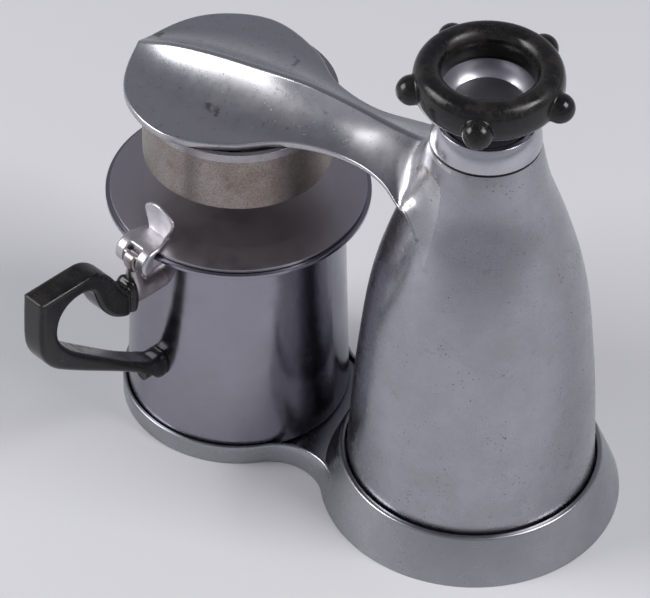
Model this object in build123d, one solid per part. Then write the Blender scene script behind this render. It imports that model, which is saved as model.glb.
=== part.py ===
from build123d import *
from math import atan, cos, radians, sin, sqrt
import os

# Stovetop coffee maker: a bell-shaped boiler, and a jug that stands under its hooded arm.
# Millimetres, +Z up. The boiler's axis is the Z axis, and the stove top is z = 0.
# The jug stands on the -X side. Its handle and hinge lie in one upright plane.

# Layout
JUG_X = -115.0
HANDLE_ANGLE = 255.0
SPOUT_ANGLE = 75.0
FLAT_GAP = 0.05
RUN_GAP = 0.05

# Boiler
BELL = [(53.3, 0.0), (52.2, 30.0), (49.3, 75.0), (42.3, 125.0), (34.75, 150.0), (27.4, 170.0), (22.5, 190.8)]
BOILER_WALL = 3.2
NECK_DEPTH = 12.8
FLOOR_T = 3.0
FLOOR_REBATE = 0.9
FOOT_FLANGE_R = 58.6
FOOT_FLANGE_T = 3.0

# Stand
SKIRT_FOOT_R = 64.0
SKIRT_LIP_R = 55.7
SKIRT_LIP_Z = 20.5
SKIRT_WALL = 2.8
SKIRT_GROOVE = 0.9
TRAY_WALL = 1.7
TRAY_FLOOR_Z = 5.5
TRAY_FLOOR_T = 2.5
TRAY_LIP_Z = 9.5
TRAY_GAP = 0.4
NECK_SKIRT_R = 60.0
NECK_FILLET_R = 22.6
STAND_RIB_T = 2.5
SCREW_COUNT = 3
SCREW_R = 1.5
SCREW_HEAD_R = 2.4
SCREW_HEAD_T = 1.8
SCREW_BITE = 4.5
SCREW_BOSS_R = 3.2
SCREW_START_ANGLE = 30.0
SCREW_EDGE = 0.4
SCREW_BOSS_ROOF = 1.5

# Neck, collar and filler plug
NECK_BORE_R = 16.6
SEAM_T = 1.2
SEAM_R = 21.6
COLLAR_FOOT_R = 22.5
COLLAR_TOP_R = 20.1
COLLAR_SHOULDER_R = 21.7
COLLAR_SHOULDER_Z = 198.5
COLLAR_TOP_Z = 202.4
COLLAR_RECESS_R = 18.4
COLLAR_RECESS_Z = 197.0
COLLAR_SPIGOT_Z = 180.0
THREAD_R = 12.25
PLUG_FOOT_Z = 183.0
PLUG_GASKET_T = 1.2
PLUG_GASKET_R = 16.2
SHOULDER_R = 16.4
SHOULDER_T = 3.0
STEM_R = 8.5
STEM_SPIGOT_R = 5.5
STEM_BORE_R = 4.2
VENT_R = 0.8

# Relief valve
VALVE_INLET_R = 2.0
VALVE_SEAT_Z = 186.0
BALL_R = 3.2
SPRING_WIRE_R = 0.45
SPRING_TURNS = 6
RELIEF_SCREW_Z = 201.5
RELIEF_SCREW_T = 3.5
RELIEF_SLOT = 1.0
SPRING_GAP = 0.3

# Ring wheel and its bowl
BOWL_LIFT = 6.2
BOWL_FLOOR_Z = COLLAR_TOP_Z + BOWL_LIFT
BOWL_H = 13.6
BOWL_FLOOR_T = 2.0
BOWL_WALL = 1.4
BOWL_FLOOR_R = 15.2
BOWL_SWELL = 0.8
BOWL_TUCK = 1.0
HUB_CAP_R = 14.2
HUB_CAP_T = 1.6
HUB_STUD_L = 5.0
RING_R = 24.7
RING_HALF_W = 5.75
RING_HALF_H = 8.8
RING_ROUND = 5.2
RING_Z = BOWL_FLOOR_Z + BOWL_H
KNOB_COUNT = 5
KNOB_R = 6.2
KNOB_CENTRE_R = 31.0
KNOB_DROP = 1.7
KNOB_START_ANGLE = 218.5

# Arm and hood
HOOD_EDGE_Z = 167.0
NOSE_X = -163.7
HOOD_SIDE = [(-151.0, 30.5), (-126.0, 43.0), (-98.0, 34.8), (-80.0, 21.6), (-62.0, 16.9), (-37.0, 20.3)]
FAIRING_EDGE = [(-22.0, 27.5, 162.0), (-7.3, 35.4, 147.0)]
ROOF = [
    (-170.0, 171.0, 8.0, 170.5), (-150.0, 177.2, 20.0, 170.5), (-130.0, 181.6, 28.0, 170.5),
    (-105.0, 183.3, 30.0, 170.5), (-82.0, 184.8, 25.0, 170.3), (-62.0, 182.8, 21.0, 169.8),
    (-42.0, 180.2, 24.0, 168.5), (-20.0, 179.5, 30.0, 163.0),
]
CREST_HALF_W = 2.6
ROOF_HALF_W = 50.0
ROOF_FOOT_Z = 140.0
FAIRING = [(22.5, 188.0), (25.9, 178.0), (29.9, 170.6), (35.4, 164.0), (36.2, 158.0), (36.2, 140.0)]
PASSAGE_R = 2.5
PASSAGE_RISE = 6.0
OUTLET_X = -107.0
OUTLET_DROP_R = 2.0

# Riser tube
RISER_R = 4.0
RISER_BORE_R = 2.8
RISER_X = -13.0
RISER_FOOT_Z = 8.0
RISER_BEND_R = 11.0
RISER_SOCKET = 7.5
RISER_STOP = 0.4

# Filter head
HEAD_RECESS_R = 36.5
HEAD_RECESS_T = 1.3
CHAMBER_R = 29.0
CHAMBER_T = 0.7
BAYONET_R = 41.5
BAYONET_T = 4.0
LEDGE_T = 2.0
POCKET_R = 39.3
LUG_R = 39.0
LUG_T = 1.4
LUG_SPAN = 30.0
LUG_TRAVEL = 40.0
LUG_SLACK = 2.0
LUG_REST = 40.0
LUG_BORE_GAP = 0.5
BAYONET_SCREW_R = 1.25
BAYONET_SCREW_RING_R = 39.2
BAYONET_SCREW_BITE = 2.6
BAYONET_SCREW_HEAD_R = 2.1
BAYONET_SCREW_HEAD_T = 1.2
SCREW_END_GAP = 0.3
HEAD_GASKET_T = 1.5
HEAD_GASKET_BORE_R = 31.2
SCREEN_R = 30.6
SCREEN_T = 0.8
SHOWER_SCREW_R = 2.0
SHOWER_HEAD_R = 3.6
SHOWER_HEAD_T = 1.3
SHOWER_SCREW_L = 9.0

# Filter cup and basket
CUP_R = 40.0
CUP_FOOT_Z = 136.0
CUP_FOOT_CHAMFER = 1.0
CUP_SHOULDER_Z = 162.5
CUP_NECK_R = 36.3
CUP_WALL = 3.0
CUP_FLOOR_T = 3.0
CUP_MOUTH_R = 32.4
CUP_SEAT_DEPTH = 1.6
CUP_SEAT_R = 33.6
OUTLET_R = 6.0
OUTLET_DISH_R = 14.0
OUTLET_DISH_T = 1.2
BASKET_RIM_T = 1.0
BASKET_WALL = 0.8
BASKET_GAP = 0.3
BASKET_FLOOR_Z = 146.0
HOLE_R = 0.9
HOLE_RINGS = 3
HOLE_PITCH = 8.0

# Jug
JUG_FOOT_R = 48.2
JUG_FOOT_ROUND = 2.0
JUG_MID_R = 46.5
JUG_MID_Z = 57.5
JUG_NECK_R = 45.1
JUG_NECK_Z = 106.0
JUG_WALL = 1.6
JUG_BEND = 3.0
RADIUS_STEPS = 20
FLANGE_R = 55.85
FLANGE_Z = 114.0
FLANGE_T = 1.6
TROUGH_R = 6.0
TROUGH_WALL = 1.5
TROUGH_REACH = 3.15
TROUGH_RISE = 2.2
TROUGH_ROOT = 12.0

# Lid
LID_R = 54.0
LID_T = 1.3
LID_GAP = 0.3
LID_FLAT_R = 40.0
LID_CROWN = 1.4
INLET_R = 8.0
INLET_HOLE_R = 2.5
INLET_DEPTH = 4.0
LID_SKIRT_GAP = 0.5
LID_SKIRT_WALL = 1.0
LID_SKIRT_DEPTH = 4.3
INLET_LIP = 1.0

# Hinge, in the handle's plane: distance from the jug's axis, and height
HINGE_S = FLANGE_R + 5.15
HINGE_Z = FLANGE_Z - 0.4
KNUCKLE_R = 3.4
KNUCKLE_HALF = 3.0
LOBE_WIDTH = 5.6
LOBE_GAP = 0.2
KNUCKLE_GAP = 1.0
PIN_R = 1.25
PIN_HEAD_R = 2.0
PIN_HEAD_T = 0.8
SADDLE_T = 1.8
SADDLE_S = 41.0
SADDLE_HALF_IN = 5.6
RIVET_R = 1.2
RIVET_HEAD_R = 2.2
RIVET_HEAD_T = 0.9
RIVET_HEAD_GAP = 0.6
SADDLE_RIVET_S = 49.5
SADDLE_RIVET_N = 4.2
SADDLE_ROUND = 2.0
THUMB_S = 44.4
THUMB_T = 1.2
THUMB_HALF_FOOT = 5.0
THUMB_HALF_TOP = 8.2
THUMB_EAR_Z = 126.0
THUMB_TOP_Z = 131.0
THUMB_FOOT_L = 8.0

# Handle. Its outline is given beyond the bulb's face: distance, height and corner round.
HANDLE_HALF = 6.0
HANDLE_OUTLINE = [
    (0.0, 85.8, 3.0), (0.0, 102.5, 6.0), (10.8, 108.0, 3.0), (15.6, 122.9, 9.0), (56.9, 122.9, 2.5),
    (58.1, 89.2, 24.0)]
FINGER_HOLE_OUTLINE = [(46.8, 90.3, 10.0), (48.6, 116.4, 8.0), (27.6, 116.4, 7.0), (21.8, 93.5, 4.0),
                       (13.3, 87.8, 4.0)]
HANDLE_EDGE = 1.6
STUB_Z = 92.0
STUB_L = 13.7
STUB_ROOT_R = 5.2
STUB_TIP_R = 4.4
STUB_SPIGOT_R = 3.0
STUB_SPIGOT_L = 14.8
PAD_R = 6.6
PAD_Z = 43.0
PAD_GAP = 0.7
PAD_T = 7.4
LOWER_ARM_START = 4.4
LOWER_ARM_EDGES = (0.5, 8.9)
BOSS_R = 3.0
BOSS_GAP = 0.3
BOSS_SPIGOT_L = 9.4
SPIGOT_END_GAP = 0.5
BRACKET_RIVETS = [(-2.3, 92.0), (2.3, 92.0)]
RIVET_BITE = 3.0
SOCKET_START = 2.4
LUG_HALF = 2.2
LUG_FOOT_L = 8.4
LUG_FOOT_RISE = 3.9
LUG_THROAT = (4.2, 8.6)
LUG_WEB_DROP = 8.6
CROSS_PIN_R = 1.2
CROSS_PIN_INSET = 3.5


def disc(r, z0, z1, x=0.0, y=0.0):
    """Upright cylinder between two heights."""
    return Pos(x, y, (z0 + z1) / 2) * Cylinder(r, z1 - z0)


def ring(r_out, r_in, z0, z1, x=0.0, y=0.0):
    """Upright ring between two heights."""
    return disc(r_out, z0, z1, x, y) - disc(r_in, z0 - 1, z1 + 1, x, y)


def turned(*edges):
    """Solid of revolution about Z from edges in the XZ plane."""
    return revolve(make_face(Wire(edges)), Axis.Z)


def turned_polygon(points):
    """Solid of revolution about Z from a closed outline of (radius, height) corners."""
    outline = Polyline([(r, 0, z) for r, z in points], close=True)
    return revolve(make_face(outline), Axis.Z)


def at_jug(shape):
    """Move a shape that was made on the Z axis to the jug's axis."""
    return Pos(JUG_X, 0, 0) * shape


def in_handle_plane(shape, angle=HANDLE_ANGLE):
    """Turn a shape that was made along +X to an angle about the jug's axis."""
    return at_jug(Rot(0, 0, angle) * shape)


def spoke(r, s0, s1, n, z):
    """Cylinder along the handle plane's direction, before it is turned there."""
    return Pos((s0 + s1) / 2, n, z) * Rot(0, 90, 0) * Cylinder(r, s1 - s0)


def crossbar(r, n0, n1, s, z):
    """Cylinder square to the handle's plane, before it is turned there."""
    return Pos(s, (n0 + n1) / 2, z) * Rot(90, 0, 0) * Cylinder(r, n1 - n0)


def at_angles(count, start):
    """Evenly spaced angles."""
    return [start + 360.0 * k / count for k in range(count)]


def on_circle(r, angle):
    """Point on a circle about the Z axis."""
    return r * cos(radians(angle)), r * sin(radians(angle))


def cavity_top_z():
    """Top of the water space, below the neck's wall."""
    return BELL[-1][1] - NECK_DEPTH


def passage_z():
    """Height of the water passage along the arm."""
    return HOOD_EDGE_Z + PASSAGE_RISE


def bell_radius(z):
    """Outer radius of the bell between two of its named stations, on a straight line."""
    for (r0, z0), (r1, z1) in zip(BELL, BELL[1:]):
        if z0 <= z <= z1:
            return r0 + (r1 - r0) * (z - z0) / (z1 - z0)
    return BELL[-1][0]


# Stand


def stand_outline(inset):
    """Figure-eight outline of the tray, the bridge and the skirt's neck, drawn inwards by inset."""
    tray_r = JUG_FOOT_R + TRAY_GAP + TRAY_WALL
    a = tray_r + NECK_FILLET_R
    b = NECK_SKIRT_R + NECK_FILLET_R
    span = -JUG_X
    cx = -(span**2 + b**2 - a**2) / (2 * span)
    cy = sqrt(b**2 - cx**2)
    face = Pos(JUG_X, 0) * Circle(tray_r - inset) + Circle(NECK_SKIRT_R - inset)
    face += make_face(Polyline((JUG_X, 0), (cx, -cy), (0, 0), (cx, cy), close=True))
    for side in (-1, 1):
        face -= Pos(cx, side * cy) * Circle(NECK_FILLET_R + inset)
    return face


def skirt_cone(inset):
    """Solid cone of the skirt, drawn inwards by inset."""
    return turned_polygon([
        (0, 0), (SKIRT_FOOT_R - inset, 0), (SKIRT_LIP_R - inset, SKIRT_LIP_Z), (0, SKIRT_LIP_Z),
    ])


def foot_screw_places():
    """Places of the screws that hold the boiler's foot flange."""
    mid = (FOOT_FLANGE_R + BELL[0][0]) / 2 + SCREW_EDGE
    return [on_circle(mid, angle) for angle in at_angles(SCREW_COUNT, SCREW_START_ANGLE)]


def make_base_stand():
    body = extrude(stand_outline(0), TRAY_LIP_Z) + skirt_cone(0)
    recess = Pos(0, 0, TRAY_FLOOR_Z) * extrude(stand_outline(TRAY_WALL), TRAY_LIP_Z)
    body -= recess - skirt_cone(0)
    hollow = Pos(0, 0, -1) * extrude(stand_outline(TRAY_WALL), TRAY_FLOOR_Z - TRAY_FLOOR_T + 1)
    rib_height = TRAY_FLOOR_Z - TRAY_FLOOR_T - 1
    for angle in (0, 60, 120):
        rib = Rot(0, 0, angle) * Box(3 * JUG_FOOT_R, STAND_RIB_T, rib_height)
        hollow -= Pos(JUG_X, 0, 1 + rib_height / 2) * rib
    hollow += disc(JUG_FOOT_R / 2, -1, TRAY_FLOOR_Z - TRAY_FLOOR_T, JUG_X)
    body -= hollow
    skirt_inside = skirt_cone(SKIRT_WALL)
    throat = disc(SKIRT_LIP_R - SKIRT_WALL + SKIRT_GROOVE, 0, SKIRT_LIP_Z + 1)
    body += skirt_cone(0) - skirt_inside
    body -= throat
    body -= disc(FOOT_FLANGE_R + TRAY_GAP, 0, 2 * FOOT_FLANGE_T)
    for x, y in foot_screw_places():
        boss = disc(SCREW_BOSS_R, 2 * FOOT_FLANGE_T, 2 * FOOT_FLANGE_T + SCREW_BITE + SCREW_BOSS_ROOF, x, y)
        body += (boss & skirt_cone(SKIRT_WALL / 2)) - throat
        body -= disc(SCREW_R, 2 * FOOT_FLANGE_T - 1, 2 * FOOT_FLANGE_T + SCREW_BITE, x, y)
    return body


def make_stand_screws():
    screws = []
    for x, y in foot_screw_places():
        shank = disc(SCREW_R, FOOT_FLANGE_T - 0.5, 2 * FOOT_FLANGE_T + SCREW_BITE - 0.5, x, y)
        head = disc(SCREW_HEAD_R, FOOT_FLANGE_T - SCREW_HEAD_T, FOOT_FLANGE_T, x, y)
        screws.append(head + shank)
    return Compound(children=screws)


# Boiler, arm and hood


def bell_solid(inset, z0, z1):
    """Bell drawn inwards by inset, between two heights."""
    points = [(r - inset, 0, z) for r, z in BELL]
    side = Spline(points)
    top = Line(side @ 1, (0, 0, BELL[-1][1]))
    axis = Line(top @ 1, (0, 0, 0))
    foot = Line(axis @ 1, side @ 0)
    bell = turned(side, top, axis, foot)
    return bell & disc(2 * BELL[0][0], z0, z1)


def roof_section(x, crest_z, flank, edge_z):
    """Upright section of the roof: a narrow crest with hollow flanks that run out flat."""
    reach = flank - CREST_HALF_W
    rise = crest_z - edge_z
    rho = (reach**2 + rise**2) / (2 * rise)
    half = atan(rise / reach)
    my = flank - rho * sin(half)
    mz = edge_z + rho * (1 - cos(half))
    w = ROOF_HALF_W
    edges = [
        Line((x, -w, ROOF_FOOT_Z), (x, -w, edge_z)),
        Line((x, -w, edge_z), (x, -flank, edge_z)),
        ThreePointArc((x, -flank, edge_z), (x, -my, mz), (x, -CREST_HALF_W, crest_z)),
        Line((x, -CREST_HALF_W, crest_z), (x, CREST_HALF_W, crest_z)),
        ThreePointArc((x, CREST_HALF_W, crest_z), (x, my, mz), (x, flank, edge_z)),
        Line((x, flank, edge_z), (x, w, edge_z)),
        Line((x, w, edge_z), (x, w, ROOF_FOOT_Z)),
        Line((x, w, ROOF_FOOT_Z), (x, -w, ROOF_FOOT_Z)),
    ]
    return make_face(Wire(edges))


def arm_plan():
    """Plan of the hood and the arm, flaring where it runs on to the bell."""
    side = [(x, y) for x, y in HOOD_SIDE] + [(x, y) for x, y, _ in FAIRING_EDGE]
    near = Spline([(NOSE_X, 0)] + [(x, -y) for x, y in side], tangents=[(0, -1), (1, -0.25)])
    far = Spline([(NOSE_X, 0)] + side, tangents=[(0, 1), (1, 0.25)])
    end = Line(near @ 1, far @ 1)
    return make_face(Wire([near, end, far]))


def under_arm():
    """Space below the hood and the arm, whose edge drops to the fairing's points on the bell."""
    (x1, _, z1), (x2, _, z2) = FAIRING_EDGE
    waist_x = HOOD_SIDE[-2][0]
    flat = Line((2 * NOSE_X, 0, HOOD_EDGE_Z), (waist_x, 0, HOOD_EDGE_Z))
    drop = Spline([(waist_x, 0, HOOD_EDGE_Z), (x1, 0, z1), (x2, 0, z2)], tangents=[(1, 0, 0), (0.4, 0, -1)])
    down = Line(drop @ 1, (x2, 0, 0))
    foot = Line(down @ 1, (2 * NOSE_X, 0, 0))
    back = Line(foot @ 1, flat @ 0)
    face = make_face(Wire([flat, drop, down, foot, back]))
    return extrude(face, 2 * ROOF_HALF_W, dir=(0, 1, 0), both=True)


def make_arm():
    """Hood, arm and fairing, before they are joined to the bell."""
    roof = loft([roof_section(*station) for station in ROOF])
    side = Spline([(r, 0, z) for r, z in FAIRING])
    top = Line(side @ 0, (0, 0, FAIRING[0][1]))
    axis = Line(top @ 1, (0, 0, FAIRING[-1][1]))
    foot = Line(axis @ 1, side @ 1)
    fairing = turned(top, axis, foot, side)
    plan = Pos(0, 0, ROOF_FOOT_Z) * extrude(arm_plan(), 2 * ROOF_HALF_W)
    return ((roof + fairing) & plan) - under_arm()


def make_boiler_body():
    top_z = BELL[-1][1]
    body = bell_solid(0, 0, top_z) + make_arm()
    body += disc(FOOT_FLANGE_R, FOOT_FLANGE_T, 2 * FOOT_FLANGE_T)
    for x, y in foot_screw_places():
        body -= disc(SCREW_R + RUN_GAP, 0, 3 * FOOT_FLANGE_T, x, y)
    body -= bell_solid(BOILER_WALL, 0, cavity_top_z())
    body -= disc(BELL[0][0] - BOILER_WALL + FLOOR_REBATE, 0, FLOOR_T)
    body -= disc(NECK_BORE_R, cavity_top_z() - 1, top_z + 1)
    socket_x = socket_start()
    body -= Pos((socket_x + RISER_X) / 2, 0, passage_z()) * Rot(0, 90, 0) * Cylinder(
        RISER_R + RUN_GAP, RISER_X - socket_x)
    reach = socket_x - OUTLET_X + PASSAGE_R
    bore = Rot(0, 90, 0) * Cylinder(PASSAGE_R, reach + 2)
    body -= Pos(OUTLET_X - PASSAGE_R + reach / 2, 0, passage_z()) * bore
    body -= disc(OUTLET_DROP_R, HOOD_EDGE_Z, passage_z(), OUTLET_X)
    ceiling = HOOD_EDGE_Z + HEAD_RECESS_T
    body -= disc(HEAD_RECESS_R, HOOD_EDGE_Z - 1, ceiling, JUG_X)
    body -= disc(CHAMBER_R, ceiling - 1, ceiling + CHAMBER_T, JUG_X)
    body += disc(SHOWER_HEAD_R, ceiling, ceiling + CHAMBER_T, JUG_X)
    body -= disc(SHOWER_SCREW_R, ceiling - 1, ceiling + SHOWER_SCREW_L - SCREEN_T, JUG_X)
    for x, y in bayonet_screw_places():
        body -= disc(BAYONET_SCREW_R, HOOD_EDGE_Z - 1, HOOD_EDGE_Z + BAYONET_SCREW_BITE, JUG_X + x, y)
    return body


def socket_start():
    """Where the riser's socket ends inside the arm's root."""
    return -(bell_radius(passage_z()) - BOILER_WALL) - RISER_SOCKET


def make_boiler_floor():
    body = disc(BELL[0][0] - BOILER_WALL + FLOOR_REBATE - RUN_GAP, 0, FLOOR_T - FLAT_GAP)
    groove_z = FLOOR_T / 2
    return body - ring(BELL[0][0] / 2 + 2, BELL[0][0] / 2, groove_z, FLOOR_T)


def make_riser_tube():
    end_x = socket_start() + RISER_STOP
    path = FilletPolyline(
        (RISER_X, 0, RISER_FOOT_Z), (RISER_X, 0, passage_z()), (end_x, 0, passage_z()), radius=RISER_BEND_R)
    section = Pos(RISER_X, 0, RISER_FOOT_Z) * (Circle(RISER_R) - Circle(RISER_BORE_R))
    tube = sweep(section, path=path)
    scallop = Pos(RISER_X, 0, RISER_FOOT_Z) * Rot(90, 0, 0) * Cylinder(RISER_BORE_R, 3 * RISER_R)
    return tube - scallop


# Collar, filler plug and ring wheel


def make_neck_collar():
    seat_z = BELL[-1][1] + SEAM_T
    flank = ThreePointArc((COLLAR_FOOT_R, 0, seat_z), (COLLAR_SHOULDER_R, 0, COLLAR_SHOULDER_Z),
                          (COLLAR_TOP_R, 0, COLLAR_TOP_Z))
    inner = Polyline(
        (COLLAR_TOP_R, 0, COLLAR_TOP_Z), (COLLAR_RECESS_R, 0, COLLAR_TOP_Z),
        (COLLAR_RECESS_R, 0, COLLAR_RECESS_Z), (THREAD_R, 0, COLLAR_RECESS_Z),
        (THREAD_R, 0, COLLAR_SPIGOT_Z), (NECK_BORE_R - RUN_GAP, 0, COLLAR_SPIGOT_Z),
        (NECK_BORE_R - RUN_GAP, 0, seat_z), (COLLAR_FOOT_R, 0, seat_z))
    return turned(flank, *inner.edges())


def make_collar_gasket():
    z0 = BELL[-1][1]
    return ring(SEAM_R, NECK_BORE_R, z0, z0 + SEAM_T)


def shoulder_z():
    return COLLAR_RECESS_Z + PLUG_GASKET_T + FLAT_GAP


def make_filler_plug():
    shoulder_top = shoulder_z() + SHOULDER_T
    body = disc(THREAD_R - RUN_GAP, PLUG_FOOT_Z, shoulder_z())
    body += disc(SHOULDER_R, shoulder_z(), shoulder_top)
    body += disc(STEM_R, shoulder_top, BOWL_FLOOR_Z)
    body += disc(STEM_SPIGOT_R, BOWL_FLOOR_Z, BOWL_FLOOR_Z + BOWL_FLOOR_T)
    body -= disc(VALVE_INLET_R, PLUG_FOOT_Z - 1, VALVE_SEAT_Z + 1)
    body -= disc(STEM_BORE_R, VALVE_SEAT_Z, BOWL_FLOOR_Z + BOWL_FLOOR_T + 1)
    vent_z = (shoulder_top + RELIEF_SCREW_Z) / 2
    vent = Pos(0, 0, vent_z + VENT_R) * Rot(0, 90, 0) * Cylinder(VENT_R, 3 * STEM_R)
    return body - vent


def make_plug_gasket():
    return ring(PLUG_GASKET_R, THREAD_R + RUN_GAP, COLLAR_RECESS_Z + FLAT_GAP / 2,
                COLLAR_RECESS_Z + PLUG_GASKET_T)


def ball_z():
    """Height of the relief ball's centre, on the edge of its seat."""
    return VALVE_SEAT_Z + sqrt(BALL_R**2 - VALVE_INLET_R**2) + FLAT_GAP


def make_relief_ball():
    return Pos(0, 0, ball_z()) * Sphere(BALL_R)


def make_relief_spring():
    coil_r = STEM_BORE_R - SPRING_WIRE_R - SPRING_GAP
    foot = ball_z() + BALL_R * 0.5 + SPRING_WIRE_R
    height = RELIEF_SCREW_Z - SPRING_WIRE_R - FLAT_GAP - foot
    path = Pos(0, 0, foot) * Helix(height / SPRING_TURNS, height, coil_r)
    section = Plane(path @ 0, z_dir=path % 0) * Circle(SPRING_WIRE_R)
    return sweep(section, path=path)


def make_relief_screw():
    body = disc(STEM_BORE_R - RUN_GAP, RELIEF_SCREW_Z, RELIEF_SCREW_Z + RELIEF_SCREW_T)
    top = RELIEF_SCREW_Z + RELIEF_SCREW_T
    return body - Pos(0, 0, top) * Box(3 * STEM_BORE_R, RELIEF_SLOT, 2 * RELIEF_SLOT)


def bowl_outline(inset):
    """Half section of the bowl's outside, drawn inwards by inset, from its floor to its rim."""
    foot_r = BOWL_FLOOR_R + BOWL_WALL - inset
    foot = Line((0, 0, BOWL_FLOOR_Z + inset), (foot_r - BOWL_TUCK, 0, BOWL_FLOOR_Z + inset))
    rim_r = RING_R - RING_HALF_W + BOWL_WALL - inset
    mid = (foot_r + rim_r) / 2 + BOWL_SWELL
    mid_z = (BOWL_FLOOR_Z + RING_Z) / 2 - BOWL_TUCK
    side = ThreePointArc(foot @ 1, (mid, 0, mid_z), (rim_r, 0, RING_Z))
    top = Line(side @ 1, (0, 0, RING_Z))
    axis = Line(top @ 1, foot @ 0)
    return turned(foot, side, top, axis)


def make_wheel_bowl():
    shell = bowl_outline(0) - bowl_outline(BOWL_WALL)
    shell += disc(BOWL_FLOOR_R, BOWL_FLOOR_Z, BOWL_FLOOR_Z + BOWL_FLOOR_T)
    return shell - disc(STEM_SPIGOT_R + RUN_GAP, BOWL_FLOOR_Z - 1, BOWL_FLOOR_Z + BOWL_FLOOR_T + 1)


def make_hub_cap():
    seat = BOWL_FLOOR_Z + BOWL_FLOOR_T + FLAT_GAP / 2
    cap = disc(HUB_CAP_R, seat, seat + HUB_CAP_T)
    cap = chamfer(cap.edges().sort_by(Axis.Z)[-1], HUB_CAP_T / 4)
    return cap + disc(STEM_BORE_R - RUN_GAP, seat - HUB_STUD_L, seat)


def make_hand_wheel():
    profile = RectangleRounded(2 * RING_HALF_W, 2 * RING_HALF_H, RING_ROUND)
    wheel = revolve(Plane.XZ * (Pos(RING_R, RING_Z) * profile), Axis.Z)
    for angle in at_angles(KNOB_COUNT, KNOB_START_ANGLE):
        x, y = on_circle(KNOB_CENTRE_R, angle)
        wheel += Pos(x, y, RING_Z - KNOB_DROP) * Rot(0, 90, angle) * Sphere(KNOB_R)
    return wheel - bowl_outline(0)


# Filter head


def bayonet_screw_places():
    """Places of the bayonet ring's screws, about the jug's axis."""
    return [on_circle(BAYONET_SCREW_RING_R, angle) for angle in at_angles(3, 0)]


def sector(r, start, span, z0, z1):
    """Wedge of a disc about the Z axis."""
    wedge = Rot(0, 0, start) * revolve(
        make_face(Polyline((0, 0, z0), (r, 0, z0), (r, 0, z1), (0, 0, z1), close=True)), Axis.Z, span)
    return wedge


def lug_start(angle):
    """Where a lug starts when the cup is locked, past the solid pillar at this angle."""
    return angle + LUG_REST - LUG_SPAN / 2


def make_bayonet_ring():
    foot = HOOD_EDGE_Z - BAYONET_T
    ledge = foot + LEDGE_T
    body = ring(BAYONET_R, CUP_NECK_R + LUG_BORE_GAP, foot, HOOD_EDGE_Z)
    for angle in at_angles(3, 0):
        pocket_span = LUG_SPAN + LUG_TRAVEL + 2 * LUG_SLACK
        body -= sector(POCKET_R, lug_start(angle) - LUG_SLACK, pocket_span, ledge, HOOD_EDGE_Z + 1)
        window_start = lug_start(angle) + LUG_TRAVEL - LUG_SLACK
        body -= sector(POCKET_R, window_start, LUG_SPAN + 2 * LUG_SLACK, foot - 1, HOOD_EDGE_Z)
    for x, y in bayonet_screw_places():
        body -= disc(BAYONET_SCREW_R + RUN_GAP, foot - 1, HOOD_EDGE_Z + 1, x, y)
        body -= disc(BAYONET_SCREW_HEAD_R + RUN_GAP, foot - 1, foot + BAYONET_SCREW_HEAD_T, x, y)
    return at_jug(body)


def make_bayonet_screws():
    foot = HOOD_EDGE_Z - BAYONET_T
    screws = []
    for x, y in bayonet_screw_places():
        head = disc(BAYONET_SCREW_HEAD_R, foot, foot + BAYONET_SCREW_HEAD_T, JUG_X + x, y)
        shank = disc(BAYONET_SCREW_R, foot, HOOD_EDGE_Z + BAYONET_SCREW_BITE - SCREW_END_GAP, JUG_X + x, y)
        screws.append(head + shank)
    return Compound(children=screws)


def make_head_gasket():
    top = HOOD_EDGE_Z + HEAD_RECESS_T
    return at_jug(ring(HEAD_RECESS_R - RUN_GAP, HEAD_GASKET_BORE_R, top - HEAD_GASKET_T, top))


def perforations(rings, pitch, z0, z1):
    """Rings of small holes about the Z axis, six more in each ring."""
    holes = []
    for k in range(1, rings + 1):
        for angle in at_angles(6 * k, 0):
            x, y = on_circle(k * pitch, angle)
            holes.append(disc(HOLE_R, z0, z1, x, y))
    return holes


def make_shower_screen():
    top = HOOD_EDGE_Z + HEAD_RECESS_T
    body = disc(SCREEN_R, top - SCREEN_T, top) - disc(SHOWER_SCREW_R + RUN_GAP, top - 2 * SCREEN_T, top + 1)
    return at_jug(body - perforations(HOLE_RINGS, HOLE_PITCH, top - 2 * SCREEN_T, top + 1))


def make_shower_screw():
    seat = HOOD_EDGE_Z + HEAD_RECESS_T - SCREEN_T
    body = disc(SHOWER_SCREW_R, seat - 0.5, seat + SHOWER_SCREW_L - 0.5)
    head = disc(SHOWER_HEAD_R, seat - SHOWER_HEAD_T, seat)
    slot = Pos(0, 0, seat - SHOWER_HEAD_T) * Box(3 * SHOWER_HEAD_R, 1, 1)
    return at_jug(body + head - slot)


def cup_top_z():
    """Top of the cup's neck, just under the gasket."""
    return HOOD_EDGE_Z + HEAD_RECESS_T - HEAD_GASKET_T - FLAT_GAP


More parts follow.
